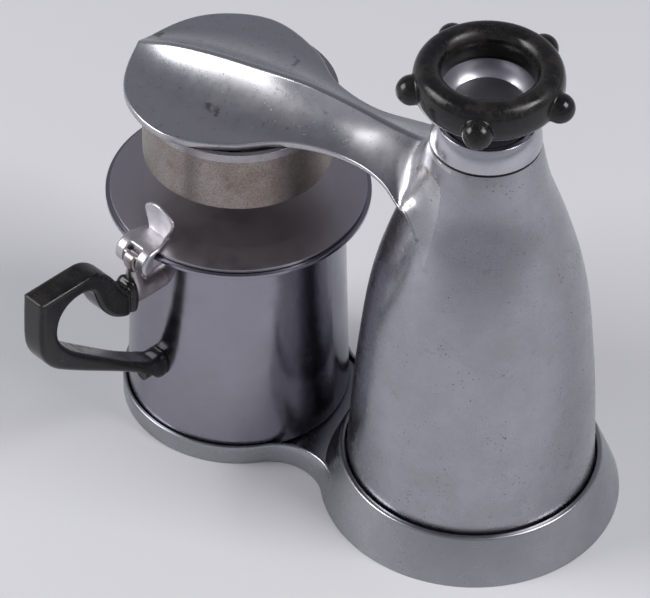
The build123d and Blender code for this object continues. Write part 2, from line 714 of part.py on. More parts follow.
def make_filter_cup():
    inner_r = CUP_R - CUP_WALL
    shoulder_in = CUP_SHOULDER_Z - CUP_WALL
    body = disc(CUP_R, CUP_FOOT_Z, CUP_SHOULDER_Z)
    body = chamfer(body.edges().sort_by(Axis.Z)[0], CUP_FOOT_CHAMFER)
    body += disc(CUP_NECK_R, CUP_SHOULDER_Z, cup_top_z())
    body -= disc(inner_r, CUP_FOOT_Z + CUP_FLOOR_T, shoulder_in)
    body -= disc(CUP_MOUTH_R, shoulder_in - 1, cup_top_z() + 1)
    body -= disc(CUP_SEAT_R, cup_top_z() - CUP_SEAT_DEPTH, cup_top_z() + 1)
    body -= disc(OUTLET_R, CUP_FOOT_Z - 1, CUP_FOOT_Z + CUP_FLOOR_T + 1)
    body -= disc(OUTLET_DISH_R, CUP_FOOT_Z + CUP_FLOOR_T - OUTLET_DISH_T, CUP_FOOT_Z + CUP_FLOOR_T + 1)
    lug_z = HOOD_EDGE_Z - BAYONET_T + LEDGE_T + FLAT_GAP
    for angle in at_angles(3, 0):
        lug = sector(LUG_R, lug_start(angle), LUG_SPAN, lug_z, lug_z + LUG_T)
        body += lug - disc(CUP_NECK_R - 1, lug_z - 1, lug_z + LUG_T + 1)
    return at_jug(body)


def make_filter_basket():
    seat = cup_top_z() - CUP_SEAT_DEPTH
    rim_r = CUP_SEAT_R - BASKET_GAP
    wall_r = CUP_MOUTH_R - BASKET_GAP
    body = disc(rim_r, seat + FLAT_GAP / 2, seat + BASKET_RIM_T)
    body += disc(wall_r, BASKET_FLOOR_Z, seat + FLAT_GAP)
    body -= disc(wall_r - BASKET_WALL, BASKET_FLOOR_Z + BASKET_WALL, seat + 2)
    holes = perforations(HOLE_RINGS, HOLE_PITCH, BASKET_FLOOR_Z - 1, BASKET_FLOOR_Z + 2 * BASKET_WALL)
    centre = disc(HOLE_R, BASKET_FLOOR_Z - 1, BASKET_FLOOR_Z + 2)
    return at_jug(body - holes - centre)


# Jug


def jug_foot_z(inset=0.0):
    return TRAY_FLOOR_Z + FLAT_GAP + inset


def jug_side(inset=0.0):
    """Curve of the jug's side, drawn inwards by inset."""
    return Spline(
        (JUG_FOOT_R - inset, 0, jug_foot_z(inset) + JUG_FOOT_ROUND),
        (JUG_MID_R - inset, 0, JUG_MID_Z),
        (JUG_NECK_R - inset, 0, JUG_NECK_Z))


def jug_radius(z):
    """Outer radius of the jug's side at a height, found by halving along its curve."""
    side, low, high = jug_side(), 0.0, 1.0
    for _ in range(RADIUS_STEPS):
        mid = (low + high) / 2
        low, high = (mid, high) if (side @ mid).Z < z else (low, mid)
    return (side @ low).X


def jug_solid(inset):
    """Jug's outer form below its flange, drawn inwards by inset."""
    foot_z = jug_foot_z(inset)
    foot_r = JUG_FOOT_R - inset
    turn = JUG_FOOT_ROUND
    bend_r = JUG_NECK_R + JUG_BEND - inset
    foot = Line((0, 0, foot_z), (foot_r - turn, 0, foot_z))
    corner = ThreePointArc(
        foot @ 1, (foot_r - 0.3 * turn, 0, foot_z + 0.3 * turn), (foot_r, 0, foot_z + turn))
    side = jug_side(inset)
    bend = Spline([side @ 1, (bend_r, 0, FLANGE_Z - FLANGE_T)], tangents=[side % 1, (1, 0, 0.35)])
    up = Line(bend @ 1, (bend_r, 0, FLANGE_Z))
    top = Line(up @ 1, (0, 0, FLANGE_Z))
    axis = Line(top @ 1, foot @ 0)
    return turned(foot, corner, side, bend, up, top, axis)


def make_jug_body():
    body = jug_solid(0) + disc(FLANGE_R, FLANGE_Z - FLANGE_T, FLANGE_Z)
    trough_z = FLANGE_Z + TROUGH_RISE
    trough_end = FLANGE_R + TROUGH_REACH
    root = JUG_NECK_R - TROUGH_ROOT
    trough = spoke(TROUGH_R + TROUGH_WALL, JUG_NECK_R - 2 * JUG_WALL, trough_end, 0, trough_z)
    spout = trough & disc(2 * FLANGE_R, FLANGE_Z - 2 * TROUGH_R, FLANGE_Z)
    body += Rot(0, 0, SPOUT_ANGLE) * spout
    body -= jug_solid(JUG_WALL)
    body -= disc(JUG_NECK_R - JUG_WALL, JUG_NECK_Z, FLANGE_Z + 1)
    body -= Rot(0, 0, SPOUT_ANGLE) * spoke(TROUGH_R, root, trough_end + TROUGH_R, 0, trough_z)
    body = at_jug(body)
    for n, z in BRACKET_RIVETS + [(0.0, PAD_Z)]:
        wall = jug_radius(z)
        body -= in_handle_plane(spoke(RIVET_R, wall - 4 * JUG_WALL, wall + 2 * RIVET_BITE, n, z))
    return body


def lid_foot_z():
    return FLANGE_Z + LID_GAP


def make_jug_lid():
    z0 = lid_foot_z()
    z1 = z0 + LID_T
    crown = z1 + LID_CROWN
    dish = crown - INLET_DEPTH
    outline = [
        (LID_R, z0), (LID_R, z1), (LID_FLAT_R, z1), (INLET_R + 2 * INLET_LIP, crown),
        (INLET_R, crown - LID_T / 3), (INLET_HOLE_R + INLET_LIP, dish), (INLET_HOLE_R, dish),
        (INLET_HOLE_R, dish - LID_T), (INLET_HOLE_R + INLET_LIP + LID_T / 2, dish - LID_T),
        (INLET_R, crown - LID_T - INLET_LIP), (LID_FLAT_R, z0),
    ]
    body = turned_polygon(outline)
    skirt_r = JUG_NECK_R - JUG_WALL - LID_SKIRT_GAP
    skirt = ring(skirt_r, skirt_r - LID_SKIRT_WALL, z0 - LID_SKIRT_DEPTH, z0 + LID_T / 2)
    notch = Pos(skirt_r, 0, z0 - TROUGH_R) * Box(8 * LID_SKIRT_WALL, 2 * TROUGH_R, 2 * TROUGH_R)
    notch = Rot(0, 0, SPOUT_ANGLE) * notch
    body = at_jug(body + (skirt - notch))
    for n in (-SADDLE_RIVET_N, SADDLE_RIVET_N):
        body -= in_handle_plane(disc(RIVET_R, z0 - 1, z1 + 1, SADDLE_RIVET_S, n))
    return body


# Hinge and thumb piece


def plate_profile(points, half):
    """Plate in the handle's plane from an outline of (distance, height), before it is turned there."""
    face = make_face(Polyline([(s, 0, z) for s, z in points], close=True))
    return extrude(face, half, dir=(0, 1, 0), both=True)


def make_lid_bracket():
    foot = lid_foot_z() + LID_T + FLAT_GAP / 2
    top = foot + SADDLE_T
    out = KNUCKLE_HALF + LOBE_GAP + LOBE_WIDTH
    plan = make_face(Polyline(
        (SADDLE_S, -SADDLE_HALF_IN), (LID_R, -out), (HINGE_S, -out), (HINGE_S, out),
        (LID_R, out), (SADDLE_S, SADDLE_HALF_IN), close=True))
    plate = Pos(0, 0, foot) * extrude(plan, SADDLE_T)
    plate = fillet(plate.edges().filter_by(Axis.Z).sort_by(Axis.X)[:2], SADDLE_ROUND)
    knuckle = crossbar(KNUCKLE_R, -out, out, HINGE_S, HINGE_Z)
    root = HINGE_S - KNUCKLE_R
    web = plate_profile([
        (root, foot), (LID_R, top), (HINGE_S, top), (HINGE_S, HINGE_Z), (root, HINGE_Z)], out)
    body = plate + knuckle + web
    slot_half = KNUCKLE_HALF + LOBE_GAP
    slot_s = root - KNUCKLE_GAP
    slot_l = 2 * KNUCKLE_R + 2 * KNUCKLE_GAP
    body -= Pos(slot_s + slot_l / 2, 0, HINGE_Z) * Box(slot_l, 2 * slot_half, 4 * KNUCKLE_R)
    body -= crossbar(PIN_R + RUN_GAP, -2 * out, 2 * out, HINGE_S, HINGE_Z)
    for n in (-SADDLE_RIVET_N, SADDLE_RIVET_N):
        body -= disc(RIVET_R, foot - 1, top + 1, SADDLE_RIVET_S, n)
    return in_handle_plane(body)


def make_thumb_piece():
    foot = lid_foot_z() + LID_T + SADDLE_T + FLAT_GAP
    face = make_face(Wire([
        Line((THUMB_S, -THUMB_HALF_FOOT, foot), (THUMB_S, -THUMB_HALF_TOP, THUMB_EAR_Z)),
        ThreePointArc((THUMB_S, -THUMB_HALF_TOP, THUMB_EAR_Z), (THUMB_S, 0, THUMB_TOP_Z),
                      (THUMB_S, THUMB_HALF_TOP, THUMB_EAR_Z)),
        Line((THUMB_S, THUMB_HALF_TOP, THUMB_EAR_Z), (THUMB_S, THUMB_HALF_FOOT, foot)),
        Line((THUMB_S, THUMB_HALF_FOOT, foot), (THUMB_S, -THUMB_HALF_FOOT, foot)),
    ]))
    leaf = extrude(face, THUMB_T, dir=(1, 0, 0))
    sole_half = SADDLE_RIVET_N + RIVET_R + 0.2
    sole = Pos(THUMB_S + THUMB_FOOT_L / 2, 0, foot + THUMB_T / 2) * Box(THUMB_FOOT_L, 2 * sole_half, THUMB_T)
    body = leaf + sole
    for n in (-SADDLE_RIVET_N, SADDLE_RIVET_N):
        body -= disc(RIVET_R, foot - 1, foot + 2 * THUMB_T, SADDLE_RIVET_S, n)
    return in_handle_plane(body)


def make_lid_rivets():
    foot = lid_foot_z()
    top = foot + LID_T + SADDLE_T + FLAT_GAP + THUMB_T
    rivets = []
    for n in (-SADDLE_RIVET_N, SADDLE_RIVET_N):
        rivet = disc(RIVET_R, foot - 0.1, top + 0.1, SADDLE_RIVET_S, n)
        rivet += disc(RIVET_HEAD_R, top, top + RIVET_HEAD_T, SADDLE_RIVET_S, n)
        rivet += disc(RIVET_R + 0.4, foot - LID_GAP + FLAT_GAP, foot, SADDLE_RIVET_S, n)
        rivets.append(in_handle_plane(rivet))
    return Compound(children=rivets)


def make_hinge_pin():
    out = KNUCKLE_HALF + LOBE_GAP + LOBE_WIDTH
    pin = crossbar(PIN_R, -out - PIN_HEAD_T, out + PIN_HEAD_T, HINGE_S, HINGE_Z)
    for side in (-1, 1):
        inner = side * (out + FLAT_GAP)
        outer = side * (out + PIN_HEAD_T)
        pin += crossbar(PIN_HEAD_R, min(inner, outer), max(inner, outer), HINGE_S, HINGE_Z)
    return in_handle_plane(pin)


# Handle and what carries it


def make_handle_bracket():
    root_s, bulb = jug_radius(STUB_Z), bulb_s()
    deep = root_s - JUG_WALL
    body = Pos(deep, 0, STUB_Z) * Rot(0, 90, 0) * Cone(
        STUB_ROOT_R, STUB_TIP_R, bulb - deep - BOSS_GAP, align=(Align.CENTER, Align.CENTER, Align.MIN))
    body += spoke(STUB_SPIGOT_R, bulb - SOCKET_START, bulb + STUB_SPIGOT_L, 0, STUB_Z)
    lug_in, lug_out = bulb - LUG_FOOT_L, bulb - BOSS_R / 2
    body += plate_profile([
        (lug_in, STUB_Z), (lug_in, STUB_Z + LUG_FOOT_RISE), (HINGE_S - LUG_THROAT[0], HINGE_Z - LUG_THROAT[1]),
        (HINGE_S - KNUCKLE_R, HINGE_Z), (HINGE_S, HINGE_Z), (HINGE_S - LOBE_GAP, HINGE_Z - LUG_WEB_DROP),
        (lug_out, STUB_Z + STUB_ROOT_R), (lug_out, STUB_Z)], LUG_HALF)
    body += crossbar(KNUCKLE_R, -KNUCKLE_HALF, KNUCKLE_HALF, HINGE_S, HINGE_Z)
    body -= crossbar(PIN_R, -2 * KNUCKLE_HALF, 2 * KNUCKLE_HALF, HINGE_S, HINGE_Z)
    body -= jug_solid(0)
    for n, z in BRACKET_RIVETS:
        body -= spoke(RIVET_R, deep, root_s + RIVET_BITE, n, z)
    body -= cross_hole(*bulb_pin())
    return in_handle_plane(body)


def bulb_s():
    """Where the handle's bulb starts, at the end of the bracket's stub."""
    return jug_radius(STUB_Z) + STUB_L


def pad_face_s():
    """Where the handle's lower pad starts, just off the jug's side."""
    return jug_radius(PAD_Z) + PAD_GAP


def bulb_pin():
    return bulb_s() + STUB_SPIGOT_L / 2 + CROSS_PIN_R, STUB_Z


def pad_pin():
    return pad_face_s() + PAD_T - CROSS_PIN_INSET, PAD_Z


def cross_hole(s, z):
    """Hole for a cross pin through the handle and its spigot."""
    return crossbar(CROSS_PIN_R, -2 * HANDLE_HALF, 2 * HANDLE_HALF, s, z)


def make_bracket_rivets():
    """Rivets from inside the jug into the stub's root."""
    rivets = []
    for n, z in BRACKET_RIVETS:
        inside_s = sqrt((jug_radius(z) - JUG_WALL)**2 - n**2) - RIVET_HEAD_GAP
        rivet = spoke(RIVET_R, inside_s - RIVET_HEAD_T, jug_radius(z) + RIVET_BITE, n, z)
        rivet += spoke(RIVET_HEAD_R, inside_s - RIVET_HEAD_T, inside_s, n, z)
        rivets.append(in_handle_plane(rivet))
    return Compound(children=rivets)


def make_lower_boss():
    wall_s, face_s = jug_radius(PAD_Z), pad_face_s()
    inside_s = wall_s - JUG_WALL - BOSS_GAP
    body = spoke(BOSS_R, wall_s + BOSS_GAP, face_s + BOSS_SPIGOT_L, 0, PAD_Z)
    body += spoke(RIVET_R, inside_s - RIVET_HEAD_T, wall_s + 2 * BOSS_GAP, 0, PAD_Z)
    body += spoke(RIVET_HEAD_R, inside_s - RIVET_HEAD_T, inside_s, 0, PAD_Z)
    return in_handle_plane(body - cross_hole(*pad_pin()))


def handle_outline():
    """Closed outline of the handle in its plane, round the bulb, the grip and the finger hole."""
    bulb, arm = bulb_s(), pad_face_s() + LOWER_ARM_START
    outer = [(bulb + out, z, turn) for out, z, turn in HANDLE_OUTLINE]
    foot = [(arm, PAD_Z + rise, 0.0) for rise in LOWER_ARM_EDGES]
    inner = [(bulb + out, z, turn) for out, z, turn in FINGER_HOLE_OUTLINE]
    corners = outer + foot + inner
    rounds = [turn for _, _, turn in corners]
    return FilletPolyline([(s, 0, z) for s, z, _ in corners], radius=rounds, close=True)


def make_jug_handle():
    body = extrude(make_face(handle_outline()), HANDLE_HALF, dir=(0, 1, 0), both=True)
    sides = body.edges().filter_by(lambda e: abs(abs(e.center().Y) - HANDLE_HALF) < FLAT_GAP)
    body = chamfer(sides, HANDLE_EDGE)
    bulb, face_s = bulb_s(), pad_face_s()
    body += spoke(PAD_R, face_s, face_s + PAD_T, 0, PAD_Z)
    body -= spoke(STUB_SPIGOT_R + RUN_GAP, bulb - SOCKET_START, bulb + STUB_SPIGOT_L + SPIGOT_END_GAP, 0, STUB_Z)
    body -= spoke(BOSS_R + RUN_GAP, face_s - SOCKET_START, face_s + BOSS_SPIGOT_L + SPIGOT_END_GAP, 0, PAD_Z)
    for place in (bulb_pin(), pad_pin()):
        body -= cross_hole(*place)
    return in_handle_plane(body)


def make_handle_pins():
    half = HANDLE_HALF - SPIGOT_END_GAP
    pins = [in_handle_plane(crossbar(CROSS_PIN_R, -half, half, s, z)) for s, z in (bulb_pin(), pad_pin())]
    return Compound(children=pins)


PARTS = {
    "base_stand": make_base_stand,
    "stand_screws": make_stand_screws,
    "boiler_body": make_boiler_body,
    "boiler_floor": make_boiler_floor,
    "riser_tube": make_riser_tube,
    "neck_collar": make_neck_collar,
    "collar_gasket": make_collar_gasket,
    "filler_plug": make_filler_plug,
    "plug_gasket": make_plug_gasket,
    "relief_ball": make_relief_ball,
    "relief_spring": make_relief_spring,
    "relief_screw": make_relief_screw,
    "wheel_bowl": make_wheel_bowl,
    "hub_cap": make_hub_cap,
    "hand_wheel": make_hand_wheel,
    "bayonet_ring": make_bayonet_ring,
    "bayonet_screws": make_bayonet_screws,
    "head_gasket": make_head_gasket,
    "shower_screen": make_shower_screen,
    "shower_screw": make_shower_screw,
    "filter_cup": make_filter_cup,
    "filter_basket": make_filter_basket,
    "jug_body": make_jug_body,
    "handle_bracket": make_handle_bracket,
    "lower_boss": make_lower_boss,
    "bracket_rivets": make_bracket_rivets,
    "jug_handle": make_jug_handle,
    "handle_pins": make_handle_pins,
    "jug_lid": make_jug_lid,
    "lid_bracket": make_lid_bracket,
    "thumb_piece": make_thumb_piece,
    "lid_rivets": make_lid_rivets,
    "hinge_pin": make_hinge_pin,
}

os.makedirs("parts", exist_ok=True)
for name, make in PARTS.items():
    export_step(make(), f"parts/{name}.step")
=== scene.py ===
from math import acos, cos, pi, radians, sin, tan

import bmesh
import bpy
import numpy as np
from mathutils import Matrix, Vector


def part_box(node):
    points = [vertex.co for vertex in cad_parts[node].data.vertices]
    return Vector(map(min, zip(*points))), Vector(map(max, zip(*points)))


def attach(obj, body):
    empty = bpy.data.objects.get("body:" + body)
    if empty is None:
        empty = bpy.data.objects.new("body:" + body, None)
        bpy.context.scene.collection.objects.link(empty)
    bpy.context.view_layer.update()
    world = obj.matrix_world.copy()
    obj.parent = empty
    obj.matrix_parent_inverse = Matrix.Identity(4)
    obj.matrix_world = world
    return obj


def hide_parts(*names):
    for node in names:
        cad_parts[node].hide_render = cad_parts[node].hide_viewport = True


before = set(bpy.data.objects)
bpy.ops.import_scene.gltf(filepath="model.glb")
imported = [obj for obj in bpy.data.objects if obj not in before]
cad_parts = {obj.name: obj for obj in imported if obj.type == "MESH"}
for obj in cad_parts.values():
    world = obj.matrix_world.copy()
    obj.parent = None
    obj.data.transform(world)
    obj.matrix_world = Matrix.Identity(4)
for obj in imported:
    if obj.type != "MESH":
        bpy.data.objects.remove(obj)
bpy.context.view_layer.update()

# Shapes are in millimetres and become metres when a mesh is made.
# The floor, the lamps and the camera are in metres.
MM = 0.001
SAME_PLACE = 1e-7

# Layout, read from the frame
cup_low, cup_high = (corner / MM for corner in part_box("filter_cup"))
JUG_X = (cup_low.x + cup_high.x) / 2
HANDLE_ANGLE = 255.0
bell_low, bell_high = (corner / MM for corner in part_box("boiler_body"))
NECK_TOP_Z = bell_high.z
NOSE_X = bell_low.x

# Bell: (radius, height) up its side, its wall and bore, its foot flange
BELL = [(53.3, 0.0), (52.2, 30.0), (49.3, 75.0), (42.3, 125.0), (34.75, 150.0), (27.4, 170.0),
        (22.5, 190.8)]
BELL_WALL = 3.2
BELL_INSIDE_TOP_Z = 178.0
NECK_BORE_R = 16.6
FLANGE_R = 58.6
FLANGE_Z = (3.0, 6.0)
FLANGE_ROOT_Z = 4.0
# How far the neck's lip is drawn in and down
NECK_LIP = [(0.15, 0.1), (0.6, 0.0)]
LATHE_SEGMENTS = 256

# Stand: corners of the skirt as (radius, height, round), then the tray and the curve that joins them
SKIRT = [(64.0, 0.0, 0.4), (55.7, 20.5, 2.6), (53.6, 20.5, 0.4), (53.9, 6.1, 0.3), (59.1, 6.1, 0.3),
         (59.1, 0.0, 0.3)]
TRAY_R = 50.3
TRAY_WALL = 1.7
TRAY_LIP_Z = 9.5
TRAY_FLOOR_Z = (3.9, 5.5)
BRIDGE_FILLET_R = 22.6
LIP_ROUND = 0.8
TRAY_RING_Z = (3.0, 6.0)
TRAY_FOOT_CUT = 0.3
TRAY_CORNER = 0.7
TRAY_CORNER_CUT = 0.2
BRIDGE_POINTS = 28
TRAY_POINTS = 160

# Arm and hood: plan points of one side, then crest height, half width and edge height along x.
# FAIRING is the flare's height against its distance from the neck's axis.
HOOD_SIDE = [(-151.0, 30.5), (-126.0, 43.0), (-98.0, 34.8), (-80.0, 21.6), (-62.0, 16.9), (-37.0, 20.3)]
FAIRING_SIDE = [(-22.0, 27.5), (-7.3, 35.2)]
CREST = [(-163.7, 172.2), (-150.0, 177.2), (-130.0, 181.2), (-105.0, 183.6), (-82.0, 184.8), (-62.0, 183.0),
         (-42.0, 180.0), (-20.0, 178.0)]
FLANK = [(-163.7, 10.0), (-150.0, 20.0), (-130.0, 28.0), (-105.0, 30.0), (-82.0, 25.0), (-62.0, 21.0),
         (-42.0, 24.0), (-20.0, 30.0)]
EDGE = [(-163.7, 170.4), (-105.0, 170.5), (-82.0, 170.3), (-62.0, 169.4), (-51.3, 168.8), (-41.4, 167.8),
        (-30.3, 165.2), (-22.0, 161.0), (-14.0, 150.0), (-7.3, 140.0)]
FAIRING = [(22.5, 188.0), (25.9, 178.0), (29.9, 170.6), (35.4, 164.0), (37.0, 161.0)]
HOOD_UNDER_Z = 167.0
NECK_R = 22.2
CREST_HALF_W = 1.5
# The flanks go from hollow to full, the flare fades by degrees round the bell, and the two blend
FULL_FROM_X = -58.0
FULL_TO_X = -30.0
CREST_ROUND = 0.35
FAIRING_FADE = (48.0, 80.0)
FAIRING_SINK = 0.12
FULL_POWER = 1.25
ROOF_BLEND = (1.6, 9.0)
ROOF_BLEND_Z = (164.0, 175.0)
NECK_GAP = 0.6
# Where the ribs of the mesh leave the crest, and how many degrees they wrap round the neck
WAIST_X = -45.0
NECK_WRAP = 82.0
HOOD_END_X = -60.0
# The casting's edge: how thick it is, where it thins, and how it is rounded
RIM_DEPTH = 3.4
RIM_THINNING = 0.45
RIM_THINNING_X = (-80.0, -30.0)
RIM_FADE = 0.96
RIM_FADE_X = -18.0
RIM_ROUND = 0.9
RIM_ROUND_LOSS = 0.4
RIM_ROUND_X = (-45.0, -22.0)
RIM_ROUND_SHARE = 0.35
UNDER_ROUND_SHARE = 0.7
# Places along the edge, and rows from the crest to it, closer together near the crest
ARM_STATIONS = 260
ARM_ROWS = 70
ROW_CROWDING = 1.25

# Handle, its stub and the lid's hinge, as places (s, z) in the handle's plane and n across it
HANDLE = [(115.8, 123.2), (116.6, 111.0), (116.9, 99.0), (115.0, 91.6), (110.2, 84.6), (101.9, 78.2),
          (88.6, 68.9), (75.1, 59.8), (62.8, 50.8), (56.0, 45.2), (52.5, 40.6), (50.6, 38.0),
          (46.9, 38.0), (46.1, 39.4), (46.1, 50.0), (47.0, 51.2), (50.2, 50.4), (55.0, 51.6),
          (61.0, 55.6), (70.0, 62.2), (82.0, 72.3), (94.6, 82.9), (100.6, 88.8), (105.4, 95.4),
          (107.6, 100.8), (107.2, 106.8), (105.3, 111.5), (101.8, 114.8), (96.8, 116.3), (92.0, 115.9),
          (88.3, 114.1), (86.5, 111.2), (85.3, 107.0), (83.8, 102.4), (81.2, 97.4), (77.5, 92.7),
          (73.0, 89.4), (67.2, 87.0), (63.2, 85.6), (62.2, 86.4), (62.0, 101.6), (63.0, 102.6),
          (64.8, 103.0), (65.8, 101.6), (67.4, 100.6), (69.4, 102.0), (72.2, 106.4), (75.0, 111.4),
          (78.8, 116.8), (82.4, 120.2), (86.2, 122.3), (90.5, 122.9)]
HANDLE_HALF = 6.0
HANDLE_EDGE = 1.9
GROOVE_S = 66.6
GROOVE_DEPTH = 1.1
GROOVE_WIDTH = 1.1
# Bulb at the stub and pad at the boss: where each sets in, its middle, its half thickness and half height
BULB_FROM_S = (70.0, 64.5)
BULB_FROM_Z = (78.0, 82.0)
BULB_Z = 93.6
BULB_HALF = (6.0, 11.5)
BULB_LEAST = 0.05
PAD_FROM_S = (56.0, 50.5)
PAD_FROM_Z = (75.0, 70.0)
PAD_Z = 44.6
PAD_HALF = (5.6, 8.6)
PAD_LEAST = 0.08
STUB_Z = 92.0
STUB = [(43.6, 4.7), (62.6, 4.3)]
STUB_ENDS = (1.1, 0.4)
POST = [((60.0, -0.5, 96.5), 4.4), ((60.8, -0.5, 106.5), 2.1)]
KNUCKLE = [(60.9, 0, 111.9), (60.6, 0, 109.0)]
KNUCKLE_R = 2.9
KNUCKLE_ROUND = 0.8
POST_BLEND = 2.5
KNUCKLE_BLEND = 1.2
PIN_Z = 113.6
PIN_R = 1.2
PIN_HALF = 7.6
HINGE_S = 61.0
HINGE_PLATE = [(44.6, 115.8), (44.6, 117.5), (50.0, 118.1), (56.0, 118.0), (59.6, 117.1), (62.0, 115.0),
               (63.1, 112.0), (62.8, 109.2), (61.4, 107.2), (59.4, 106.7), (57.4, 108.0), (56.6, 110.6),
               (56.5, 113.4), (56.1, 115.0), (54.6, 115.8)]
PLATE_HALF = (6.4, 8.9)
PLATE_WIDENS_S = (45.0, 55.0)
PLATE_ROUND = 1.5
SLOT_HALF = 3.5
SLOT_S = 58.5
SLOT_ROUND = 0.6
SLOT_BLEND = 0.8
LEAF = [(-4.4, 116.0), (-5.8, 119.6), (-8.4, 125.6), (-8.0, 127.6), (-5.2, 129.8), (-0.8, 131.2),
        (3.6, 129.9), (8.4, 127.9), (9.2, 126.2), (8.2, 122.4), (6.0, 118.2), (5.0, 116.0)]
LEAF_S = 46.0
LEAF_HALF = 0.9
LEAF_LEAN = 0.06
LEAF_LEAN_Z = 118.0
LEAF_TWIST = 0.02
LEAF_ROOT = 0.5
LEAF_ROOT_Z = (121.0, 116.5)
LEAF_ROUND = 0.85

# Hand wheel
WHEEL_R = 24.4
WHEEL_HALF = (6.0, 8.7)
WHEEL_Z = 222.2
WHEEL_SQUARENESS = 2.4
KNOBS = 5
KNOB_R = 6.2
KNOB_AT_R = 31.0
KNOB_Z = 220.5
KNOB_START = 218.5
KNOB_BLEND = 1.0


def smoothstep(lo, hi, x):
    t = np.clip((x - lo) / (hi - lo), 0.0, 1.0)
    return t * t * (3 - 2 * t)


def smooth_max(a, b, k):
    """Larger of two heights, rounded over a blend of k millimetres."""
    h = np.clip(0.5 + 0.5 * (a - b) / k, 0.0, 1.0)
    return b * (1 - h) + a * h + k * h * (1 - h)


def curve_through(points, x):
    """Smooth curve through a few stations, each a place and its value, held level beyond the ends."""
    xs = np.array([p[0] for p in points], float)
    ys = np.array([p[1] for p in points], float)
    slopes = np.gradient(ys, xs)
    x = np.clip(x, xs[0], xs[-1])
    i = np.clip(np.searchsorted(xs, x) - 1, 0, len(xs) - 2)
    h = xs[i + 1] - xs[i]
    t = (x - xs[i]) / h
    return ((1 + 2 * t) * (1 - t) ** 2 * ys[i] + t * (1 - t) ** 2 * h * slopes[i]
            + t * t * (3 - 2 * t) * ys[i + 1] + t * t * (t - 1) * h * slopes[i + 1])


def spline_path(points, count):
    """Smooth curve through plan points, spaced evenly along its length."""
    pts = np.array(points, float)
    chord = np.concatenate([[0], np.cumsum(np.linalg.norm(np.diff(pts, axis=0), axis=1))])
    fine = np.linspace(0, chord[-1], 40 * len(points))
    dense = np.stack([curve_through(list(zip(chord, pts[:, k])), fine) for k in range(pts.shape[1])], 1)
    run = np.concatenate([[0], np.cumsum(np.linalg.norm(np.diff(dense, axis=0), axis=1))])
    at = np.linspace(0, run[-1], count)
    return np.stack([np.interp(at, run, dense[:, k]) for k in range(pts.shape[1])], 1)


def rounded(corners, steps=5):
    """Outline of (radius, height) points from corners of (radius, height, round)."""
    points = []
    last = len(corners) - 1
    for k, (r, z, turn) in enumerate(corners):
        here = Vector((r, z))
        if turn <= 0 or k in (0, last):
            points.append((r, z))
            continue
        before = Vector(corners[k - 1][:2]) - here
        after = Vector(corners[k + 1][:2]) - here
        half = before.angle(after) / 2
        cut = min(turn / tan(half), 0.49 * before.length, 0.49 * after.length)
        start, end = here + before.normalized() * cut, here + after.normalized() * cut
        for j in range(steps + 1):
            t = j / steps
            p = start * (1 - t) ** 2 + here * 2 * t * (1 - t) + end * t * t
            points.append((p.x, p.y))
    return points


def lathe(outline, closed=False):
    """Vertices and faces of an outline of (radius, height) turned about the upright axis."""
    count = LATHE_SEGMENTS
    turns = [2 * pi * k / count for k in range(count)]
    verts = [(r * cos(a), r * sin(a), z) for r, z in outline for a in turns]
    rings = [range(k * count, (k + 1) * count) for k in range(len(outline))]
    pairs = list(zip(rings, rings[1:]))
    if closed:
        pairs.append((rings[-1], rings[0]))
    faces = []
    for low, high in pairs:
        for k in range(count):
            n = (k + 1) % count
            faces.append((low[k], low[n], high[n], high[k]))
    return verts, faces


def joined(*shells):
    """Several lists of vertices and faces as one."""
    verts, faces = [], []
    for v, f in shells:
        base = len(verts)
        verts += [tuple(p) for p in v]
        faces += [tuple(base + i for i in face) for face in f]
    return verts, faces


def make_piece(name, shell, body, material, replaced, sharp=32.0):
    """Mesh object in metres at the origin, which rides on a body and stands for CAD nodes."""
    verts, faces = shell
    mesh = bpy.data.meshes.new(name)
    mesh.from_pydata([(x * MM, y * MM, z * MM) for x, y, z in verts], [], faces)
    work = bmesh.new()
    work.from_mesh(mesh)
    bmesh.ops.remove_doubles(work, verts=work.verts, dist=SAME_PLACE)
    bmesh.ops.recalc_face_normals(work, faces=work.faces)
    work.to_mesh(mesh)
    work.free()
    mesh.shade_smooth()
    mesh.set_sharp_from_angle(angle=radians(sharp))
    obj = bpy.data.objects.new(name, mesh)
    bpy.context.scene.collection.objects.link(obj)
    obj.data.materials.append(material)
    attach(obj, body)
    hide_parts(*replaced)


# Rounded solids from distances

SETTLE_ROUNDS = 7
SETTLE_SHARE = 0.8
SETTLE_REACH = 0.9
SLOPE_STEP = 0.01
LEAST_SLOPE = 0.05


def smooth_min(a, b, k):
    """Nearer of two distances, rounded over a blend of k millimetres."""
    return -smooth_max(-a, -b, k)


def outline_distance(points, u, v):
    """Signed distance from places (u, v) to a closed outline, negative inside it."""
    near = np.full(np.shape(u), 1e9)
    inside = np.zeros(np.shape(u), bool)
    for (u0, v0), (u1, v1) in zip(points, points[1:] + points[:1]):
        du, dv = u1 - u0, v1 - v0
        along = np.clip(((u - u0) * du + (v - v0) * dv) / (du * du + dv * dv), 0.0, 1.0)
        near = np.minimum(near, np.hypot(u - u0 - along * du, v - v0 - along * dv))
        if dv != 0:
            inside ^= ((v0 > v) != (v1 > v)) & (u < u0 + (v - v0) * du / dv)
    return np.where(inside, -near, near)


def slab(flat, across, turn):
    """Outline distance carried across a thickness, with its edges rounded."""
    a, b = flat + turn, across + turn
    return np.minimum(np.maximum(a, b), 0.0) + np.hypot(np.maximum(a, 0.0), np.maximum(b, 0.0)) - turn


def bar(p, start, end, r_start, r_end):
    """Distance to a round bar between two places, with its own radius at each end."""
    start, end = np.array(start, float), np.array(end, float)
    run = end - start
    along = np.clip(((p - start) @ run) / (run @ run), 0.0, 1.0)
    away = np.linalg.norm(p - start - along[..., None] * run, axis=-1)
    return away - (r_start + (r_end - r_start) * along)


